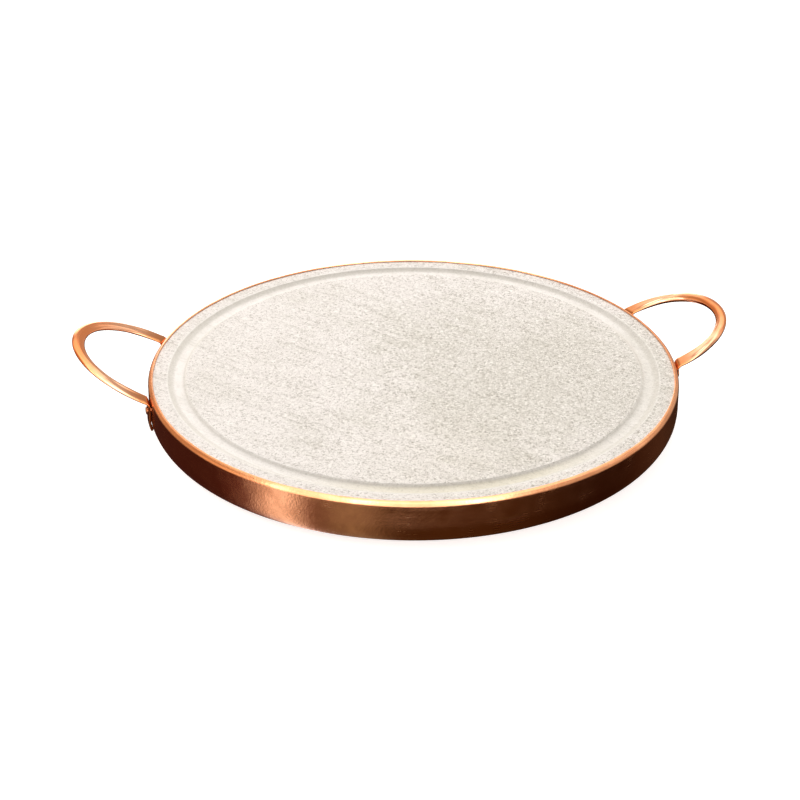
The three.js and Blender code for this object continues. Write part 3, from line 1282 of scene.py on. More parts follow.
@dataclass
class StoneDisc:
    """The turned stone, with its shallow groove."""

    groove_diameter: float = 0.3246
    groove_width: float = 0.012
    groove_depth: float = 0.002
    groove_outer_run: float = 0.0033
    groove_inner_run: float = 0.0020
    groove_outer_cove: float = 0.0115
    groove_inner_cove: float = 0.0055
    edge_rounding: float = 0.0006
    rim_rounding: float = 0.00175
    foot_chamfer: float = 0.001
    heel_radius: float = 0.0147
    recess_depth: float = 0.001
    recess_half_height: float = 0.0034
    # How far the curved heel stands off the band's heel, and the foot's edge outside the heel's middle
    heel_lift: float = 0.001
    foot_overhang: float = 0.0012
    # How far the turning tool wandered at the groove's edges, over which distance, and in how long waves
    groove_play: float = 0.0007
    groove_play_reach: Span = (0.0005, 0.003)
    groove_play_length: float = 0.006
    # Width from the stone's edge to the flat land, and from the groove to the plain part of the face
    rim_width: float = 0.002
    face_border: float = 0.004
    # Angle that the curved heel takes up, in degrees
    heel_turn: float = 85.0
    # Segments round the pan, and rings of points that divide the underside and the face
    steps: int = 360
    foot_rings: int = 18
    face_rings: int = 24

    def build(self, turning: TurningTree, finish: Material) -> Piece:
        """Turns the disc.

        Args:
            turning: The tree that turns sections.
            finish: The stone's material.

        Returns:
            The disc.
        """
        low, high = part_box("stone_disc")
        path_radius = high.x / 2
        points = self._section(low.z, high)
        section = section_object("soapstone_disc", points, path_radius, False, self._give)
        return turning.turn(
            section, path_radius, finish, self.steps, unevenness_size=self.groove_play_length, seed=4.0
        )

    def _section(self, foot: float, high: Vector) -> list[Point]:
        """Lays out the section, from the middle of the underside to the middle of the top.

        Args:
            foot: Height of the underside.
            high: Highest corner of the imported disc.

        Returns:
            The section's points.
        """
        top = high.z
        edge = high.x
        outer = self.groove_diameter / 2
        inner = outer - self.groove_width
        floor = top - self.groove_depth
        soft = self.edge_rounding
        rim = self.rim_rounding
        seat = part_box("copper_band")[0].z
        heel = (edge - self.heel_radius, seat + FIT_GAP + self.heel_radius + self.heel_lift)
        foot_radius = heel[0] + self.foot_overhang
        recess = edge - self.recess_depth
        rivet_z = (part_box("rivet_left_front")[0].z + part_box("rivet_left_front")[1].z) / 2
        middle_of_foot = (0.0, foot)
        foot_edge = (foot_radius - self.foot_chamfer, foot)
        heel_steps = 14
        rounding_steps = 6
        face = filleted([
            (edge - self.rim_width, top, 0),
            (outer, top, soft),
            (outer - self.groove_outer_run, floor, self.groove_outer_cove),
            (inner + self.groove_inner_run, floor, self.groove_inner_cove),
            (inner, top, soft / 2),
            (inner - self.face_border, top, 0),
        ], rounding_steps)
        return [
            middle_of_foot,
            *spaced(middle_of_foot, foot_edge, self.foot_rings),
            foot_edge,
            (foot_radius, foot + self.foot_chamfer),
            *arc(heel, self.heel_radius, -self.heel_turn, 0, heel_steps),
            (edge, rivet_z - self.recess_half_height),
            (recess, rivet_z - self.recess_half_height),
            (recess, rivet_z + self.recess_half_height),
            (edge, rivet_z + self.recess_half_height),
            *arc((edge - rim, top - rim), rim, 0, 90, rounding_steps),
            *face,
            *spaced(face[-1], (0.0, top), self.face_rings),
            (0.0, top),
        ]

    def _give(self, radius: float, height: float) -> float:
        """Lets the edges of the groove wander a little, as a hand-held turning tool leaves them.

        Args:
            radius: A section point's distance from the axis.
            height: The point's height, which makes no difference here.

        Returns:
            How far inwards the point may lie.
        """
        outer = self.groove_diameter / 2
        near = min(abs(radius - outer), abs(radius - outer + self.groove_width))
        return self.groove_play * (1 - smoothstep(near, *self.groove_play_reach))


@dataclass
class CopperBand:
    """The strip of sheet round the stone, its lip turned over the top and its heel turned under."""

    sheet: float = 0.001
    shoulder_radius: float = 0.0036
    lip_turn: float = 69.0
    heel_radius: float = 0.016
    heel_turn: float = 84.0
    seam_azimuth: float = math.radians(90)
    seam_gap: float = 0.0004
    tongue_length: float = 0.018
    tongue_height: float = 0.0114
    tongue_root: float = 0.008
    tongue_corner: float = 0.003
    # How far the mallet pushed the wall and the lip's edge in, between which shares of the lip's reach
    # the one gives way to the other, and in how long waves
    wall_play: float = 0.0002
    lip_play: float = 0.0007
    lip_play_start: Span = (0.3, 0.7)
    play_length: float = 0.028
    steps: int = 420
    shoulder: Point = field(init=False)
    heel: Point = field(init=False)
    radius: float = field(init=False)

    def __post_init__(self) -> None:
        """Works out the bends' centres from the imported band."""
        low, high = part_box("copper_band")
        self.radius = high.x
        self.shoulder = (high.x - self.shoulder_radius, high.z - self.shoulder_radius)
        drop = self.heel_radius * math.sin(math.radians(self.heel_turn))
        self.heel = (high.x - self.heel_radius, low.z + drop)

    def build(self, turning: TurningTree, finish: Material) -> Piece:
        """Rolls the strip and laps its tongue over the seam.

        Args:
            turning: The tree that turns sections.
            finish: The band's material.

        Returns:
            The band.
        """
        section = section_object("copper_rim_band", self._section(), self.radius, True, self._give)
        band = turning.turn(
            section, self.radius, finish, self.steps, unevenness_size=self.play_length, seed=9.0,
            gap=self.seam_gap, gap_azimuth=self.seam_azimuth,
        )
        tongue = self._tongue()
        tongue.data.materials.append(finish)
        return combined(band, tongue, "UNION")

    def _section(self) -> list[Point]:
        """Lays out the strip's closed section, from the foot up the outer skin and down the inner one.

        Returns:
            The section's points.
        """
        half = self.sheet / 2
        lip_turn = math.radians(self.lip_turn)
        over = self.shoulder_radius - half
        lip = (self.shoulder[0] + over * math.cos(lip_turn), self.shoulder[1] + over * math.sin(lip_turn))
        turn = math.radians(self.heel_turn)
        middle = self.heel_radius - half
        foot = (self.heel[0] + middle * math.cos(turn), self.heel[1] - middle * math.sin(turn))
        inner_shoulder = self.shoulder_radius - self.sheet
        inner_heel = self.heel_radius - self.sheet
        # The foot's edge is rounded more finely towards the inner skin
        foot_start = 160 - self.heel_turn
        # The last number on each line is its count of chords, or of points on the wall
        return [
            *arc(self.heel, self.heel_radius, -self.heel_turn, 0, 22),
            *spaced((self.radius, self.heel[1]), (self.radius, self.shoulder[1]), 5),
            *arc(self.shoulder, self.shoulder_radius, 0, self.lip_turn, 12),
            *arc(lip, half, self.lip_turn, self.lip_turn + 180, 7)[1:-1],
            *arc(self.shoulder, inner_shoulder, self.lip_turn, 0, 8),
            *arc(self.heel, inner_heel, 0, -self.heel_turn, 16),
            *arc(foot, half, foot_start, foot_start + 180, 4)[1:-1],
        ]

    def _give(self, radius: float, height: float) -> float:
        """Lets the outer skin and the lip's edge vary a little; the inner skin of the wall keeps its place.

        Args:
            radius: A section point's distance from the axis.
            height: The point's height.

        Returns:
            How far inwards the point may lie.
        """
        if height > self.shoulder[1]:
            reach = (self.radius - radius) / self.shoulder_radius
            return lerp(self.wall_play, self.lip_play, smoothstep(reach, *self.lip_play_start))
        skin_share = 0.4
        on_outer_skin = radius > self.radius - self.sheet * skin_share
        return self.wall_play if on_outer_skin else 0.0

    def _tongue(self) -> Piece:
        """Shapes the tongue that laps over the seam.

        Returns:
            The tongue, its root buried in the wall.
        """
        under = self.radius + FIT_GAP
        over = under + self.sheet
        root_outer = self.radius - self.sheet * 0.3
        root_inner = self.radius - self.sheet * 0.8
        rivet_low, rivet_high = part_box("seam_rivet_1")
        height = (rivet_low.z + rivet_high.z) / 2
        steps = 26
        rings = []
        for i in range(steps + 1):
            along = lerp(-self.tongue_root, self.tongue_length, i / steps)
            half = rounded_end(self.tongue_length - along, self.tongue_height / 2, self.tongue_corner)
            risen = smoothstep(along, -self.tongue_root, -self.tongue_root / 2)
            lifted = smoothstep(along, -self.tongue_root / 2, -self.tongue_root / 8)
            outer = lerp(root_outer, over, risen)
            inner = lerp(root_inner, under, lifted)
            direction = outward(self.seam_azimuth + along / self.radius)
            rings.append(self._tongue_ring(direction, inner, outer, height, half))
        return skin_object("seam_tongue", [rings])

    @staticmethod
    def _tongue_ring(direction: Vector, inner: float, outer: float,
                     height: float, half: float) -> list[Vector]:
        """Lays out one cross-section of the tongue, an upright oblong with softened outer edges.

        Args:
            direction: Level direction from the axis to the cross-section.
            inner: Distance of its inner face from the axis.
            outer: Distance of its outer face.
            height: Height of its middle.
            half: Half its height.

        Returns:
            The points around the cross-section.
        """
        filed_edge = 0.0003
        soft = min(filed_edge, half / 3)
        corners = [
            (inner, height - half),
            (outer - soft, height - half),
            (outer, height - half + soft),
            (outer, height),
            (outer, height + half - soft),
            (outer - soft, height + half),
            (inner, height + half),
            (inner, height),
        ]
        return [direction * r + Vector((0, 0, z)) for r, z in corners]


def rounded_end(distance: float, half: float, corner: float) -> float:
    """Gives the half width of a strip at a distance from its end, whose two corners are rounded."""
    short = corner - min(max(distance, 0.0), corner)
    return half - corner + math.sqrt(corner * corner - short * short)


@dataclass
class Station:
    """A cross-section's place on a handle, the way it faces, and how far the tube is opened there."""

    centre: Vector
    tangent: Vector
    across: Vector
    # Shares from 0 to 1: the tube's opening, the rise of its pinched middle and the tab's width at its tip
    opened: float
    risen: float
    tip: float = 1.0

    def mirrored(self) -> "Station":
        """Gives the same cross-section on the handle's other half.

        Returns:
            The mirrored cross-section.
        """
        flip = Vector((1, -1, 1))
        return Station(self.centre * flip, -self.tangent * flip, self.across * flip,
                       self.opened, self.risen, self.tip)


@dataclass
class TubeHandle:
    """A handle: tube bent to a bow, its two ends pressed flat and turned down against the band as tabs."""

    side: Side
    azimuth: float
    # Distance between the feet, reach and tilt of the bow, and width and height of its oval section
    span: float
    bow: float
    tilt: float
    width: float
    height: float
    band: CopperBand
    tube_wall: float = 0.0008
    tab_slit: float = 0.0004
    tab_width: float = 0.0104
    tab_drop: float = 0.023
    tab_corner: float = 0.003
    bend_drop: float = 0.0055
    bend_radius: float = 0.0045
    # The tube opens over the flare's length. Its pinched middle starts to rise at a share of that and has
    # risen at the valley's length
    flare_length: float = 0.026
    rise_start: float = 0.3
    valley_length: float = 0.042
    bow_fullness: float = 0.58
    sides: int = 40
    # How far the hand-bent tube's surface wanders, and how many waves it has per metre
    hand_play: float = 0.00025
    waves_per_metre: float = 60.0
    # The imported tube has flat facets; the smooth one stays inside them
    facet_margin: float = 0.00012
    tab_press: float = 0.00015

    @property
    def name(self) -> str:
        """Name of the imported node."""
        return f"handle_{self.side.name.lower()}"

    @property
    def tab_thickness(self) -> float:
        """Thickness of the flattened tube."""
        return 2 * self.tube_wall + self.tab_slit

    @property
    def tab_radius(self) -> float:
        """Distance of the tabs' middle from the pan's axis."""
        return self.band.radius + FIT_GAP - self.tab_press + self.tab_thickness / 2

    @property
    def foot_angle(self) -> float:
        """How far each foot stands to the side of the handle's direction."""
        return math.asin(self.span / 2 / self.tab_radius)

    def rivet_azimuths(self) -> list[float]:
        """Azimuths of the handle's two rivets."""
        return [self.azimuth - self.foot_angle, self.azimuth + self.foot_angle]

    def build(self, finish: Material, rivet_z: float, hole_radius: float) -> Piece:
        """Bends the handle and drills its tabs.

        Args:
            finish: The handle's material.
            rivet_z: Height of the rivets.
            hole_radius: Radius of the rivet holes.

        Returns:
            The handle.
        """
        half = self._stations(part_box("stone_disc")[1].z)
        stations = half + [station.mirrored() for station in reversed(half[:-1])]
        turn = Matrix.Rotation(self.azimuth, 3, "Z")
        skins = [
            [[turn @ point for point in self._ring(station, inset)] for station in stations]
            for inset in (self.facet_margin, self.tube_wall)
        ]
        handle = skin_object(f"copper_{self.name}", skins)
        handle.data.materials.append(finish)
        holes = drills(self.rivet_azimuths(), hole_radius, self.tab_radius, rivet_z)
        return combined(handle, holes, "DIFFERENCE")

    def _stations(self, top: float) -> list[Station]:
        """Lays out half the handle, from the tip of a tab to the middle of the bow.

        Args:
            top: Height of the stone's top face.

        Returns:
            The cross-sections' places, in the handle's own direction along +X.
        """
        tab = self._tab_stations(top)
        bend = self._bend_stations(tab[-1])
        return tab + bend + self._bow_stations(bend[-1])

    def _tab_stations(self, top: float) -> list[Station]:
        """Follows the band's heel and wall up to the bend.

        Args:
            top: Height of the stone's top face.

        Returns:
            The tab's cross-sections, from its tip upwards.
        """
        out = outward(self.foot_angle)
        along = Vector((-out.y, out.x, 0))
        up = Vector((0, 0, 1))
        heel_x, heel_z = self.band.heel
        radius = self.tab_radius - heel_x
        lowest = math.asin((top - self.tab_drop - heel_z) / radius)
        steps = 18
        # Above 1, it sets the cross-sections closer together towards the wall
        crowding = 1.6
        stations = []
        for i in range(steps + 1):
            angle = lowest * (1 - i / steps) ** crowding
            centre = out * (heel_x + radius * math.cos(angle)) + up * (heel_z + radius * math.sin(angle))
            from_tip = radius * (angle - lowest)
            tip = rounded_end(from_tip, self.tab_width / 2, self.tab_corner) / (self.tab_width / 2)
            tangent = up * math.cos(angle) - out * math.sin(angle)
            stations.append(Station(centre, tangent, along, 0.0, 0.0, tip))
        wall_steps = 5
        for i in range(1, wall_steps + 1):
            height = lerp(heel_z, top - self.bend_drop, i / wall_steps)
            stations.append(Station(out * self.tab_radius + up * height, up, along, 0.0, 0.0))
        return stations

    def _bend_stations(self, tab: Station) -> list[Station]:
        """Turns the flat strip from the wall into the tilted plane of the bow.

        Args:
            tab: The tab's last cross-section.

        Returns:
            The bend's cross-sections.
        """
        turn = math.pi / 2 - self.tilt
        steps = 12
        stations = []
        for i in range(1, steps + 1):
            angle = turn * i / steps
            lean = 1 - math.cos(angle)
            centre = tab.centre + Vector((self.bend_radius * lean, 0, self.bend_radius * math.sin(angle)))
            tangent = Vector((math.sin(angle), 0, math.cos(angle)))
            across = tab.across.lerp(Vector((0, 1, 0)), lean / (1 - math.cos(turn)))
            stations.append(Station(centre, tangent, across, 0.0, 0.0))
        return stations

    def _bow_stations(self, bend: Station) -> list[Station]:
        """Follows half the bow, a quarter of a rounded arch in the tilted plane.

        Args:
            bend: The bend's last cross-section.

        Returns:
            The bow's cross-sections, up to its middle.
        """
        away = Vector((math.cos(self.tilt), 0, math.sin(self.tilt)))
        normal = Vector((-math.sin(self.tilt), 0, math.cos(self.tilt)))
        half = bend.centre.y
        start = bend.centre * Vector((1, 0, 1))
        controls = [
            Vector((0, half)),
            Vector((self.bow_fullness * self.bow, half)),
            Vector((self.bow, self.bow_fullness * half)),
            Vector((self.bow, 0)),
        ]
        steps = 60
        stations = []
        length = 0.0
        previous = controls[0]
        for i in range(1, steps + 1):
            share = i / steps
            rest = 1 - share
            weights = (rest ** 3, 3 * rest ** 2 * share, 3 * rest * share ** 2, share ** 3)
            point = sum((c * w for c, w in zip(controls, weights)), Vector((0, 0)))
            slope = sum((
                (b - a) * w
                for a, b, w in zip(controls, controls[1:], (rest ** 2, 2 * rest * share, share ** 2))
            ), Vector((0, 0))).normalized()
            length += (point - previous).length
            previous = point
            centre = start + away * point.x + Vector((0, point.y, 0))
            tangent = away * slope.x + Vector((0, slope.y, 0))
            stations.append(Station(
                centre,
                tangent,
                normal.cross(tangent),
                smoothstep(length, 0, self.flare_length),
                smoothstep(length, self.flare_length * self.rise_start, self.valley_length),
            ))
        return stations

    def _ring(self, station: Station, inset: float) -> list[Vector]:
        """Lays out one cross-section: oblong on the tab, pinched on the flare and oval on the bow.

        Args:
            station: The cross-section's place.
            inset: How far the skin lies inside the outer surface.

        Returns:
            The points around the cross-section.
        """
        across = (station.across - station.tangent * station.across.dot(station.tangent)).normalized()
        thick = station.tangent.cross(across)
        half_width = lerp(self.tab_width, self.width, station.opened) / 2 * station.tip - inset
        flat = self.tab_thickness / 2
        rim = lerp(flat, self.height / 2, station.opened)
        valley = lerp(flat, self.height / 2, station.risen)
        pinch = 1 - valley / rim if rim > valley else 0.0
        # Powers of the outline's equation
        oblong, ellipse = 4, 2
        power = 2 / lerp(oblong, ellipse, station.opened)
        other_waves = Vector((7.3 * self.side.value, 0, 0))
        points = []
        for k in range(self.sides):
            angle = 2 * math.pi * k / self.sides
            c, s = math.cos(angle), math.sin(angle)
            x = math.copysign(abs(c) ** power, c)
            y = math.copysign(abs(s) ** power, s)
            hollow = 1 - pinch * (1 - x * x) ** 2
            point = station.centre + across * (half_width * x) + thick * ((rim * hollow - inset) * y)
            wander = noise.noise(point * self.waves_per_metre + other_waves)
            points.append(point - thick * (self.hand_play * abs(wander) * y * station.opened))
        return points


class RivetTree:
    """Geometry Nodes tree that sets a rivet, pointing outwards, at each point of a mesh."""

    def __init__(self) -> None:
        """Builds the tree once for all the rivets."""
        self.tree = start_tree("set_rivets", {
            "Rivet": "NodeSocketObject",
            "Size Play": "NodeSocketFloat",
            "Seed": "NodeSocketInt",
            "Finish": "NodeSocketMaterial",
        })
        tree = self.tree
        given = add_node(tree, "NodeGroupInput").node.outputs
        rivet = add_node(tree, "GeometryNodeObjectInfo", {
            "Object": given["Rivet"],
        }, "Geometry", transform_space="ORIGINAL")
        place = add_node(tree, "GeometryNodeInputPosition")
        parts = add_node(tree, "ShaderNodeSeparateXYZ", {0: place}).node.outputs
        azimuth = add_node(tree, "ShaderNodeMath", {0: parts["Y"], 1: parts["X"]}, operation="ARCTAN2")
        facing = add_node(tree, "ShaderNodeCombineXYZ", {"Z": azimuth})
        spin = add_node(tree, "FunctionNodeRandomValue", {
            "Min": (0, 0, 0),
            "Max": (2 * math.pi, 0, 0),
            "Seed": given["Seed"],
        }, data_type="FLOAT_VECTOR")
        turned = add_node(tree, "FunctionNodeRotateEuler", {
            "Rotation": facing,
            "Rotate By": spin,
        }, space="LOCAL")
        swell = add_node(tree, "FunctionNodeRandomValue", {
            2: 0.0,
            3: 1.0,
            "Seed": given["Seed"],
        }, 1, data_type="FLOAT")
        size = add_node(tree, "ShaderNodeMath", {
            0: swell,
            1: given["Size Play"],
            2: 1.0,
        }, operation="MULTIPLY_ADD")
        wide = add_node(tree, "ShaderNodeCombineXYZ", {"X": 1.0, "Y": size, "Z": size})
        placed = add_node(tree, "GeometryNodeInstanceOnPoints", {
            "Points": given["Geometry"],
            "Instance": rivet,
            "Rotation": turned,
            "Scale": wide,
        })
        real = add_node(tree, "GeometryNodeRealizeInstances", {"Geometry": placed})
        dressed = add_node(tree, "GeometryNodeSetMaterial", {"Geometry": real, "Material": given["Finish"]})
        add_node(tree, "NodeGroupOutput", {"Geometry": dressed})


@dataclass
class RivetSet:
    """Rivets of one size: the tab rivets or the seam rivets."""

    name: str
    shank: float
    head: float
    dome: float
    inner_head: float
    inner_height: float
    # Thickness of what lies between the band's wall and the outer head
    stack: float
    band: CopperBand
    nodes: list[str]
    azimuths: list[float]
    sides: int = 40
    # How much smaller the smallest head is, and the depth and number per metre of the hammer's marks
    size_play: float = -0.04
    mark_depth: float = 0.00012
    marks_per_metre: float = 900.0

    @property
    def height(self) -> float:
        """Height of the rivets' axes."""
        low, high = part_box(self.nodes[0])
        return (low.z + high.z) / 2

    def build(self, rivets: RivetTree, finish: Material, seed: int) -> Piece:
        """Sets the rivets.

        Args:
            rivets: The tree that sets rivets at points.
            finish: The rivets' material.
            seed: Picks how each one is turned.

        Returns:
            All the rivets of this size in one object.
        """
        pattern = self._pattern()
        seats = bpy.data.meshes.new(self.name)
        up = Vector((0, 0, self.height))
        seats.from_pydata([outward(a) * self.band.radius + up for a in self.azimuths], [], [])
        piece = run_tree(mesh_object(self.name, seats), rivets.tree, {
            "Rivet": pattern,
            "Size Play": self.size_play,
            "Seed": seed,
            "Finish": finish,
        })
        bpy.data.objects.remove(pattern)
        return tidy_surface(piece)

    def _pattern(self) -> Piece:
        """Turns one rivet about its own axis, which is X, with its seat on the band at the origin.

        Returns:
            The rivet.
        """
        seat = self.stack + FIT_GAP / 2
        inner_top = -self.band.sheet
        soft = 0.00015
        rim = 0.00018
        fullness = 2.6
        rounding_steps = 3
        section = filleted([
            (inner_top - self.inner_height, 0, 0),
            (inner_top - self.inner_height, self.inner_head, soft),
            (inner_top, self.inner_head, 0),
            (inner_top, self.shank, 0),
            (seat, self.shank, 0),
            (seat, self.head, 0),
            (seat + rim, self.head, 0),
        ], rounding_steps)
        dome_steps = 12
        for k in range(1, dome_steps + 1):
            share = k / dome_steps
            lift = (1 - (1 - share) ** fullness) ** 0.5
            section.append((seat + rim + (self.dome - rim) * lift, self.head * (1 - share)))
        least_radius = 1e-5
        rings = []
        for along, radius in section:
            ring = []
            for k in range(self.sides):
                angle = 2 * math.pi * k / self.sides
                reach = max(radius, least_radius)
                point = Vector((along, reach * math.cos(angle), reach * math.sin(angle)))
                beaten = noise.noise(point * self.marks_per_metre) if along > seat + rim else 0.0
                ring.append(point - Vector((abs(beaten) * self.mark_depth, 0, 0)))
            rings.append(ring)
        return skin_object("rivet_pattern", [rings])


@dataclass(frozen=True)
class SoftLight:
    """A soft patch of light in the studio, as the copper mirrors it.

    Directions are the photographer's: azimuth 0 is towards the camera and 90 is to its right.
    """

    azimuth: float
    elevation: float
    half_width: float
    half_height: float
    strength: float
    colour: str = "#ffffff"
    softness: float = 0.45

    def direction(self) -> Vector:
        """Works out the way to the patch.

        Returns:
            The unit vector from the pan to the patch.
        """
        a = math.radians(self.azimuth)
        e = math.radians(self.elevation)
        return Vector((math.sin(a) * math.cos(e), -math.cos(a) * math.cos(e), math.sin(e)))

    def mask(self, tree: Tree, direction: Socket) -> Socket:
        """Adds a mask that is 1 inside the patch, which is an oval, and fades at its edge.

        Args:
            tree: The world's tree.
            direction: The socket with the direction looked in.

        Returns:
            The mask's socket.
        """
        forward = self.direction()
        sideways = forward.cross(Vector((0, 0, 1))).normalized()
        upright = sideways.cross(forward)
        spans = (
            sideways / math.sin(math.radians(self.half_width)),
            upright / math.sin(math.radians(self.half_height)),
        )
        ahead, aside, above = [
            add_node(tree, "ShaderNodeVectorMath", {
                0: direction,
                1: axis,
            }, "Value", operation="DOT_PRODUCT")
            for axis in (forward, *spans)
        ]
        plane = add_node(tree, "ShaderNodeCombineXYZ", {0: aside, 1: above})
        off = add_node(tree, "ShaderNodeVectorMath", {0: plane}, "Value", operation="LENGTH")
        oval = add_node(tree, "ShaderNodeMapRange", {
            "Value": off,
            "From Min": 1 + self.softness,
            "From Max": 1 - self.softness,
        }, interpolation_type="SMOOTHSTEP")
        in_front = add_node(tree, "ShaderNodeMath", {0: ahead, 1: 0.0}, operation="GREATER_THAN")
        return add_node(tree, "ShaderNodeMath", {0: oval, 1: in_front}, operation="MULTIPLY")


@dataclass(frozen=True)
class UprightStrip:
    """A tall strip of light in the studio, which the band's wall mirrors as an upright streak.

    It is placed by its facing, the azimuth that a wall has where the photographer sees the strip in it.
    """

    facing: float
    half_width: float
    strength: float
    colour: str = "#ffffff"
    # Whether the rounded lip mirrors it, as a glint, in place of the wall
    on_lip: bool = False

    def mask(self, tree: Tree, facing: Socket) -> Socket:
        """Adds a mask that is 1 along the strip's middle and fades to both sides.

        Args:
            tree: The world's tree.
            facing: The socket with the facing that mirrors the direction looked in.

        Returns:
            The mask's socket.
        """
        middle = math.radians(self.facing)
        off = add_node(tree, "ShaderNodeMath", {0: facing, 1: middle}, operation="SUBTRACT")
        away = add_node(tree, "ShaderNodeMath", {0: off}, operation="ABSOLUTE")
        return add_node(tree, "ShaderNodeMapRange", {
            "Value": away,
            "From Min": math.radians(self.half_width * 2),
            "From Max": 0.0,
        }, interpolation_type="SMOOTHSTEP")


@dataclass(frozen=True)
class Lamp:
    """A round area lamp, aimed at the pan. Directions are the photographer's."""

    name: str
    azimuth: float
    elevation: float
    distance: float
    size: float
    power: float


@dataclass
class Studio:
    """Floor, light and camera."""

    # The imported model's Y axis runs midway between the handles; the photographer stood this far from it
    camera_turn: float = math.radians(-8.7)
    camera_elevation: float = math.radians(27.28)
    camera_distance: float = 1.587
    camera_roll: float = math.radians(-0.22)
    picture_size: float = 800.0
    focal_pixels: float = 2400.0
    sensor: float = 36.0
    # Where the middle of the stone's top face lies in the photograph, in pixels
    target_pixel: Point = (413.4, 370.4)
    floor_colour: str = "#c9c8c6"
    floor_glow: float = 0.8
    floor_radius: float = 6.0
    floor_gap: float = 0.0002
    ambient: float = 0.545
    lamps: tuple[Lamp, ...] = (
        Lamp("key", azimuth=174, elevation=38, distance=4.4, size=1.8, power=149.0),
        Lamp("fill", azimuth=-75, elevation=48, distance=1.8, size=1.2, power=8.0),
    )
    lights: tuple[SoftLight, ...] = (
        SoftLight(azimuth=188, elevation=7, half_width=13, half_height=16, strength=2.8),
        SoftLight(azimuth=176, elevation=46, half_width=36, half_height=15, strength=1.1, softness=0.35),
        SoftLight(azimuth=-6, elevation=28, half_width=50, half_height=42, strength=1.65, softness=0.25),
        SoftLight(azimuth=0, elevation=90, half_width=31, half_height=31, strength=1.9),
        SoftLight(azimuth=104, elevation=32, half_width=12, half_height=30, strength=0.45),
        SoftLight(azimuth=-82, elevation=7, half_width=15, half_height=18, strength=0.4, colour="#ffdcb8"),
    )
    strips: tuple[UprightStrip, ...] = (
        UprightStrip(facing=-29.2, half_width=3.7, strength=1.45),
        UprightStrip(facing=-30, half_width=8, strength=0.12, colour="#ff8060"),
        UprightStrip(facing=-12.8, half_width=4.6, strength=0.27, colour="#fff6d8"),
        UprightStrip(facing=66, half_width=9, strength=0.04, colour="#ffc8a0"),
        UprightStrip(facing=-30, half_width=1.7, strength=4.5, on_lip=True),
        UprightStrip(facing=-11.2, half_width=2.2, strength=4.5, on_lip=True),
        UprightStrip(facing=14.6, half_width=2.8, strength=4.5, on_lip=True),
    )

    # Height in the direction looked in, from -1 to 1, over which the table gives way to the walls
    table_edge: Span = (-0.38, -0.02)
    # The table's tone far to the left, then the facings between which it turns to each next one
    table_tone: str = "#42221d"
    table_changes: tuple[tuple[float, float, str], ...] = (
        (-45, -12, "#49311b"),
        (14, 42, "#2c170d"),
    )
    # The walls' tones to the left and elsewhere, and the share of left and right over which they change
    left_wall: str = "#d7b590"
    other_walls: str = "#ddcebf"
    wall_change: Span = (-0.75, 0.1)
    # Upright part of a surface's normal: up to where it is a wall, and up to where it is the sloping lip
    wall_slope: Span = (0.45, 0.15)
    lip_slope: Span = (0.9, 0.7)

    def set_up(self) -> None:
        """Builds the whole studio."""
        bpy.context.scene.view_settings.view_transform = "Standard"
        self._floor()
        self._lamps()
        self._surroundings()
        self._camera()

    def _floor(self) -> None:
        """Lays the pale floor."""
        low = cad_bounds[0]
        shape = bmesh.new()
        bmesh.ops.create_circle(shape, cap_ends=True, segments=128, radius=self.floor_radius)
        mesh = bpy.data.meshes.new("studio_floor")
        shape.to_mesh(mesh)
        shape.free()
        floor = mesh_object("studio_floor", mesh)
        floor.location.z = low.z - self.floor_gap
        # Painted board, matt, so that the eye sees only a soft shadow on it
        finish = empty_material("pale_studio_floor")
        tree = finish.node_tree
        surface = add_node(tree, "ShaderNodeBsdfPrincipled", {
            "Base Color": linear(self.floor_colour),
            "Roughness": 0.9,
            "Emission Color": (1, 1, 1, 1),
            "Emission Strength": self.floor_glow,
        })
        # Seen from below, the floor lets the eye through to the pan's underside
        one_way = add_node(tree, "ShaderNodeMixShader", {
            0: add_node(tree, "ShaderNodeNewGeometry", take="Backfacing"),
            1: surface,
            2: add_node(tree, "ShaderNodeBsdfTransparent"),
        })
        add_node(tree, "ShaderNodeOutputMaterial", {"Surface": one_way})
        floor.data.materials.append(finish)
        # The pan was photographed on a dark table and cut out, so its copper mirrors no pale floor
        floor.visible_glossy = False

    def _lamps(self) -> None:
        """Hangs the lamps that light the stone; the copper mirrors the surroundings in their place."""
        for lamp in self.lamps:
            data = bpy.data.lights.new(lamp.name, "AREA")
            data.shape = "DISK"
            data.size = lamp.size
            data.energy = lamp.power
            placed = bpy.data.objects.new(lamp.name, data)
            bpy.context.scene.collection.objects.link(placed)
            azimuth = math.radians(lamp.azimuth - 90) + self.camera_turn
            level = outward(azimuth) * math.cos(math.radians(lamp.elevation))
            direction = level + Vector((0, 0, math.sin(math.radians(lamp.elevation))))
            placed.location = direction * lamp.distance
            placed.rotation_mode = "QUATERNION"
            placed.rotation_quaternion = direction.to_track_quat("Z", "Y")
            placed.visible_glossy = False

    def _surroundings(self) -> None:
        """Builds the world: white to the eye, soft on the stone, a lit room for the copper to mirror."""
        world = bpy.data.worlds.new("soft_studio")
        bpy.context.scene.world = world
        world.use_nodes = True
        tree = world.node_tree
        tree.nodes.clear()
        rays = add_node(tree, "ShaderNodeLightPath").node.outputs
        white = add_node(tree, "ShaderNodeBackground", {"Color": (1, 1, 1, 1), "Strength": 1.0})
        soft = add_node(tree, "ShaderNodeBackground", {"Color": (1, 1, 1, 1), "Strength": self.ambient})
        room = add_node(tree, "ShaderNodeBackground", {"Color": self._room(tree), "Strength": 1.0})
        seen = add_node(tree, "ShaderNodeMixShader", {0: rays["Is Camera Ray"], 1: soft, 2: white})
        mirrored = add_node(tree, "ShaderNodeMixShader", {0: rays["Is Glossy Ray"], 1: seen, 2: room})
        add_node(tree, "ShaderNodeOutputWorld", {"Surface": mirrored})

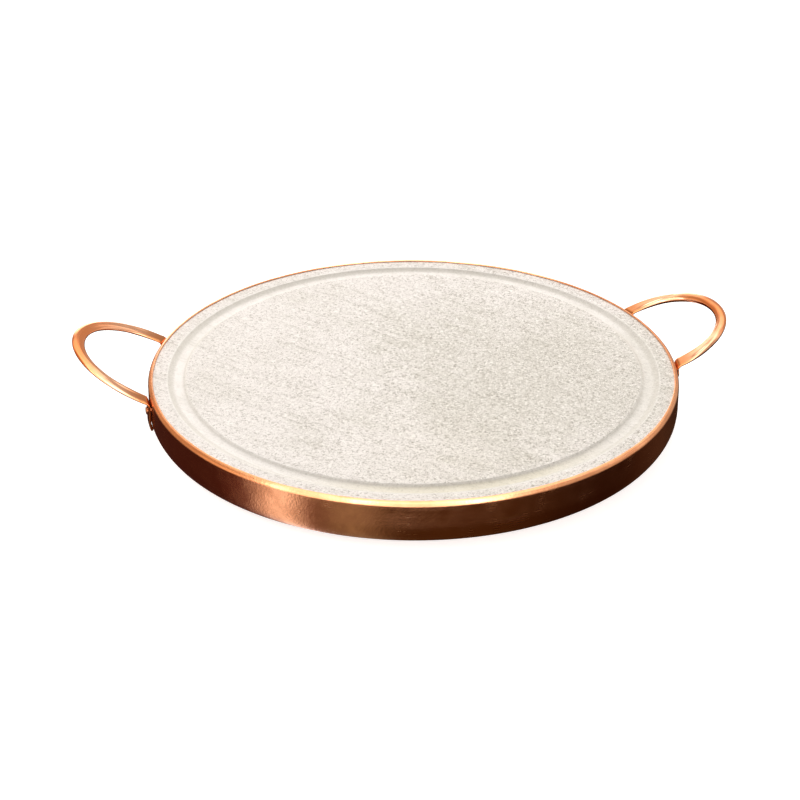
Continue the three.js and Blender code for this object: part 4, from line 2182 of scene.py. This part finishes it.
    def _room(self, tree: Tree) -> Socket:
        """Adds the light of the room in every direction.

        Args:
            tree: The world's tree.

        Returns:
            The socket with the light's colour.
        """
        direction = add_node(tree, "ShaderNodeTexCoord", take="Generated")
        turned = add_node(tree, "ShaderNodeVectorRotate", {
            "Vector": direction,
            "Angle": -self.camera_turn,
        }, rotation_type="Z_AXIS")
        parts = add_node(tree, "ShaderNodeSeparateXYZ", {0: turned}).node.outputs
        facing, level, sloping = self._facing(tree, turned)
        above = add_node(tree, "ShaderNodeMapRange", {
            "Value": parts["Z"],
            "From Min": self.table_edge[0],
            "From Max": self.table_edge[1],
        }, interpolation_type="SMOOTHSTEP")
        light = add_node(tree, "ShaderNodeMix", {
            MIX_FACTOR: above,
            MIX_A: self._table(tree, facing),
            MIX_B: self._walls(tree, parts),
        }, MIX_RESULT, data_type="RGBA")
        for strip in self.strips:
            mask = add_node(tree, "ShaderNodeMath", {
                0: strip.mask(tree, facing),
                1: sloping if strip.on_lip else level,
            }, operation="MULTIPLY")
            light = self._with_glow(tree, light, mask, strip)
        for patch in self.lights:
            light = self._with_glow(tree, light, patch.mask(tree, turned), patch)
        return light

    def _with_glow(self, tree: Tree, light: Socket, mask: Socket,
                   source: SoftLight | UprightStrip) -> Socket:
        """Adds a source's glow to the light of the room.

        Args:
            tree: The world's tree.
            light: The light so far.
            mask: Where the source is.
            source: The source.

        Returns:
            The light with the source's.
        """
        glow = Vector(linear(source.colour)[:3]) * source.strength
        return add_node(tree, "ShaderNodeVectorMath", {
            0: mask,
            1: glow,
            2: light,
        }, operation="MULTIPLY_ADD")

    def _facing(self, tree: Tree, turned: Socket) -> tuple[Socket, Socket, Socket]:
        """Works out which way a surface faces where the photographer sees a direction in it.

        Args:
            tree: The world's tree.
            turned: The direction looked in, turned so that the photographer stands towards -Y.

        Returns:
            That surface's azimuth in radians, a mask of where it is a wall and one of where it slopes.
        """
        toward = (0, -math.cos(self.camera_elevation), math.sin(self.camera_elevation))
        between = add_node(tree, "ShaderNodeVectorMath", {0: turned, 1: toward}, operation="ADD")
        normal = add_node(tree, "ShaderNodeVectorMath", {0: between}, operation="NORMALIZE")
        parts = add_node(tree, "ShaderNodeSeparateXYZ", {0: normal}).node.outputs
        front = add_node(tree, "ShaderNodeMath", {0: parts["Y"], 1: -1.0}, operation="MULTIPLY")
        azimuth = add_node(tree, "ShaderNodeMath", {0: parts["X"], 1: front}, operation="ARCTAN2")
        level = add_node(tree, "ShaderNodeMapRange", {
            "Value": parts["Z"],
            "From Min": self.wall_slope[0],
            "From Max": self.wall_slope[1],
        }, interpolation_type="SMOOTHSTEP")
        off_wall = add_node(tree, "ShaderNodeMath", {0: 1.0, 1: level}, operation="SUBTRACT")
        off_top = add_node(tree, "ShaderNodeMapRange", {
            "Value": parts["Z"],
            "From Min": self.lip_slope[0],
            "From Max": self.lip_slope[1],
        }, interpolation_type="SMOOTHSTEP")
        sloping = add_node(tree, "ShaderNodeMath", {0: off_wall, 1: off_top}, operation="MULTIPLY")
        return azimuth, level, sloping

    def _table(self, tree: Tree, facing: Socket) -> Socket:
        """Adds the dark wooden table that the band mirrors: reddish left, brown ahead, dim at the right.

        Args:
            tree: The world's tree.
            facing: The socket with the facing that mirrors the direction looked in.

        Returns:
            The table's colour.
        """
        layers = []
        for start, end, tone in self.table_changes:
            share = add_node(tree, "ShaderNodeMapRange", {
                "Value": facing,
                "From Min": math.radians(start),
                "From Max": math.radians(end),
            }, interpolation_type="SMOOTHSTEP")
            layers.append((share, tone, "MIX"))
        return layered(tree, self.table_tone, layers)

    def _walls(self, tree: Tree, parts: bpy.types.bpy_prop_collection) -> Socket:
        """Adds the room's walls: pale, but warm and dimmer to the left.

        Args:
            tree: The world's tree.
            parts: The sockets with the parts of the direction looked in.

        Returns:
            The walls' colour.
        """
        share = add_node(tree, "ShaderNodeMapRange", {
            "Value": parts["X"],
            "From Min": self.wall_change[0],
            "From Max": self.wall_change[1],
        }, interpolation_type="SMOOTHSTEP")
        return layered(tree, self.left_wall, [(share, self.other_walls, "MIX")])

    def _camera(self) -> None:
        """Stands the camera where the photographer stood and aims it to frame the pan as they did."""
        target = Vector((0, 0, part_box("stone_disc")[1].z))
        toward = Vector((
            math.sin(self.camera_turn) * math.cos(self.camera_elevation),
            -math.cos(self.camera_turn) * math.cos(self.camera_elevation),
            math.sin(self.camera_elevation),
        ))
        right = (self.target_pixel[0] - self.picture_size / 2) / self.focal_pixels
        up = (self.picture_size / 2 - self.target_pixel[1]) / self.focal_pixels
        yaw = math.atan(right)
        pitch = math.asin(up / math.sqrt(1 + right * right + up * up))
        data = bpy.data.cameras.new("camera")
        data.sensor_width = self.sensor
        data.lens = self.sensor * self.focal_pixels / self.picture_size
        data.clip_start = 0.05
        data.clip_end = 50.0
        camera = bpy.data.objects.new("camera", data)
        bpy.context.scene.collection.objects.link(camera)
        camera.location = target + toward * self.camera_distance
        camera.rotation_mode = "QUATERNION"
        camera.rotation_quaternion = (
            (-toward).to_track_quat("-Z", "Y")
            @ Quaternion((0, 0, 1), -self.camera_roll)
            @ Quaternion((1, 0, 0), -pitch)
            @ Quaternion((0, 1, 0), yaw)
        )
        bpy.context.scene.camera = camera


def build_pan() -> None:
    """Builds and hands over the pan's pieces, from the stone outwards."""
    turning = TurningTree()
    rivets = RivetTree()
    stone_finish = TurnedSoapstone().material()
    sheet_finish = SHEET_COPPER.material()
    tube_finish = TUBE_COPPER.material()
    rivet_finish = RIVET_COPPER.material()

    band_design = CopperBand()
    handles = [
        TubeHandle(Side.LEFT, math.radians(170), span=0.088, bow=0.0522, tilt=math.radians(24.6),
                   width=0.0091, height=0.0045, band=band_design),
        TubeHandle(Side.RIGHT, math.radians(10), span=0.083, bow=0.0457, tilt=math.radians(18.7),
                   width=0.0076, height=0.0059, band=band_design),
    ]
    seam_spacing = 0.0074
    seam_middle = band_design.tongue_length / 2
    tab_rivets = RivetSet(
        "tab_rivets", shank=0.0015, head=0.0028, dome=0.0008, inner_head=0.0024, inner_height=0.0007,
        stack=FIT_GAP + handles[0].tab_thickness, band=band_design,
        nodes=[f"rivet_{side}_{end}" for side in ("left", "right") for end in ("back", "front")],
        azimuths=[azimuth for handle in handles for azimuth in handle.rivet_azimuths()],
    )
    seam_rivets = RivetSet(
        "seam_rivets", shank=0.0012, head=0.0023, dome=0.0007, inner_head=0.002, inner_height=0.0006,
        stack=FIT_GAP + band_design.sheet, band=band_design,
        nodes=["seam_rivet_1", "seam_rivet_2"],
        azimuths=[
            band_design.seam_azimuth + (seam_middle + side * seam_spacing) / band_design.radius
            for side in (-0.5, 0.5)
        ],
    )

    stone = StoneDisc().build(turning, stone_finish)
    hand_over(stone, ["stone_disc"])

    band = band_design.build(turning, sheet_finish)
    for rivet_set in (tab_rivets, seam_rivets):
        hole = rivet_set.shank + FIT_GAP
        holes = drills(rivet_set.azimuths, hole, band_design.radius, rivet_set.height)
        band = combined(band, holes, "DIFFERENCE")
    hand_over(tidy_surface(band), ["copper_band"])

    for handle in handles:
        piece = handle.build(tube_finish, tab_rivets.height, tab_rivets.shank + FIT_GAP)
        hand_over(tidy_surface(piece), [handle.name])

    for seed, rivet_set in enumerate((tab_rivets, seam_rivets), start=3):
        hand_over(rivet_set.build(rivets, rivet_finish, seed), rivet_set.nodes)


def main() -> None:
    """Builds the pan and its studio."""
    logging.basicConfig(level=logging.INFO, format="%(message)s")
    build_pan()
    Studio().set_up()


if __name__ == "__main__":
    main()
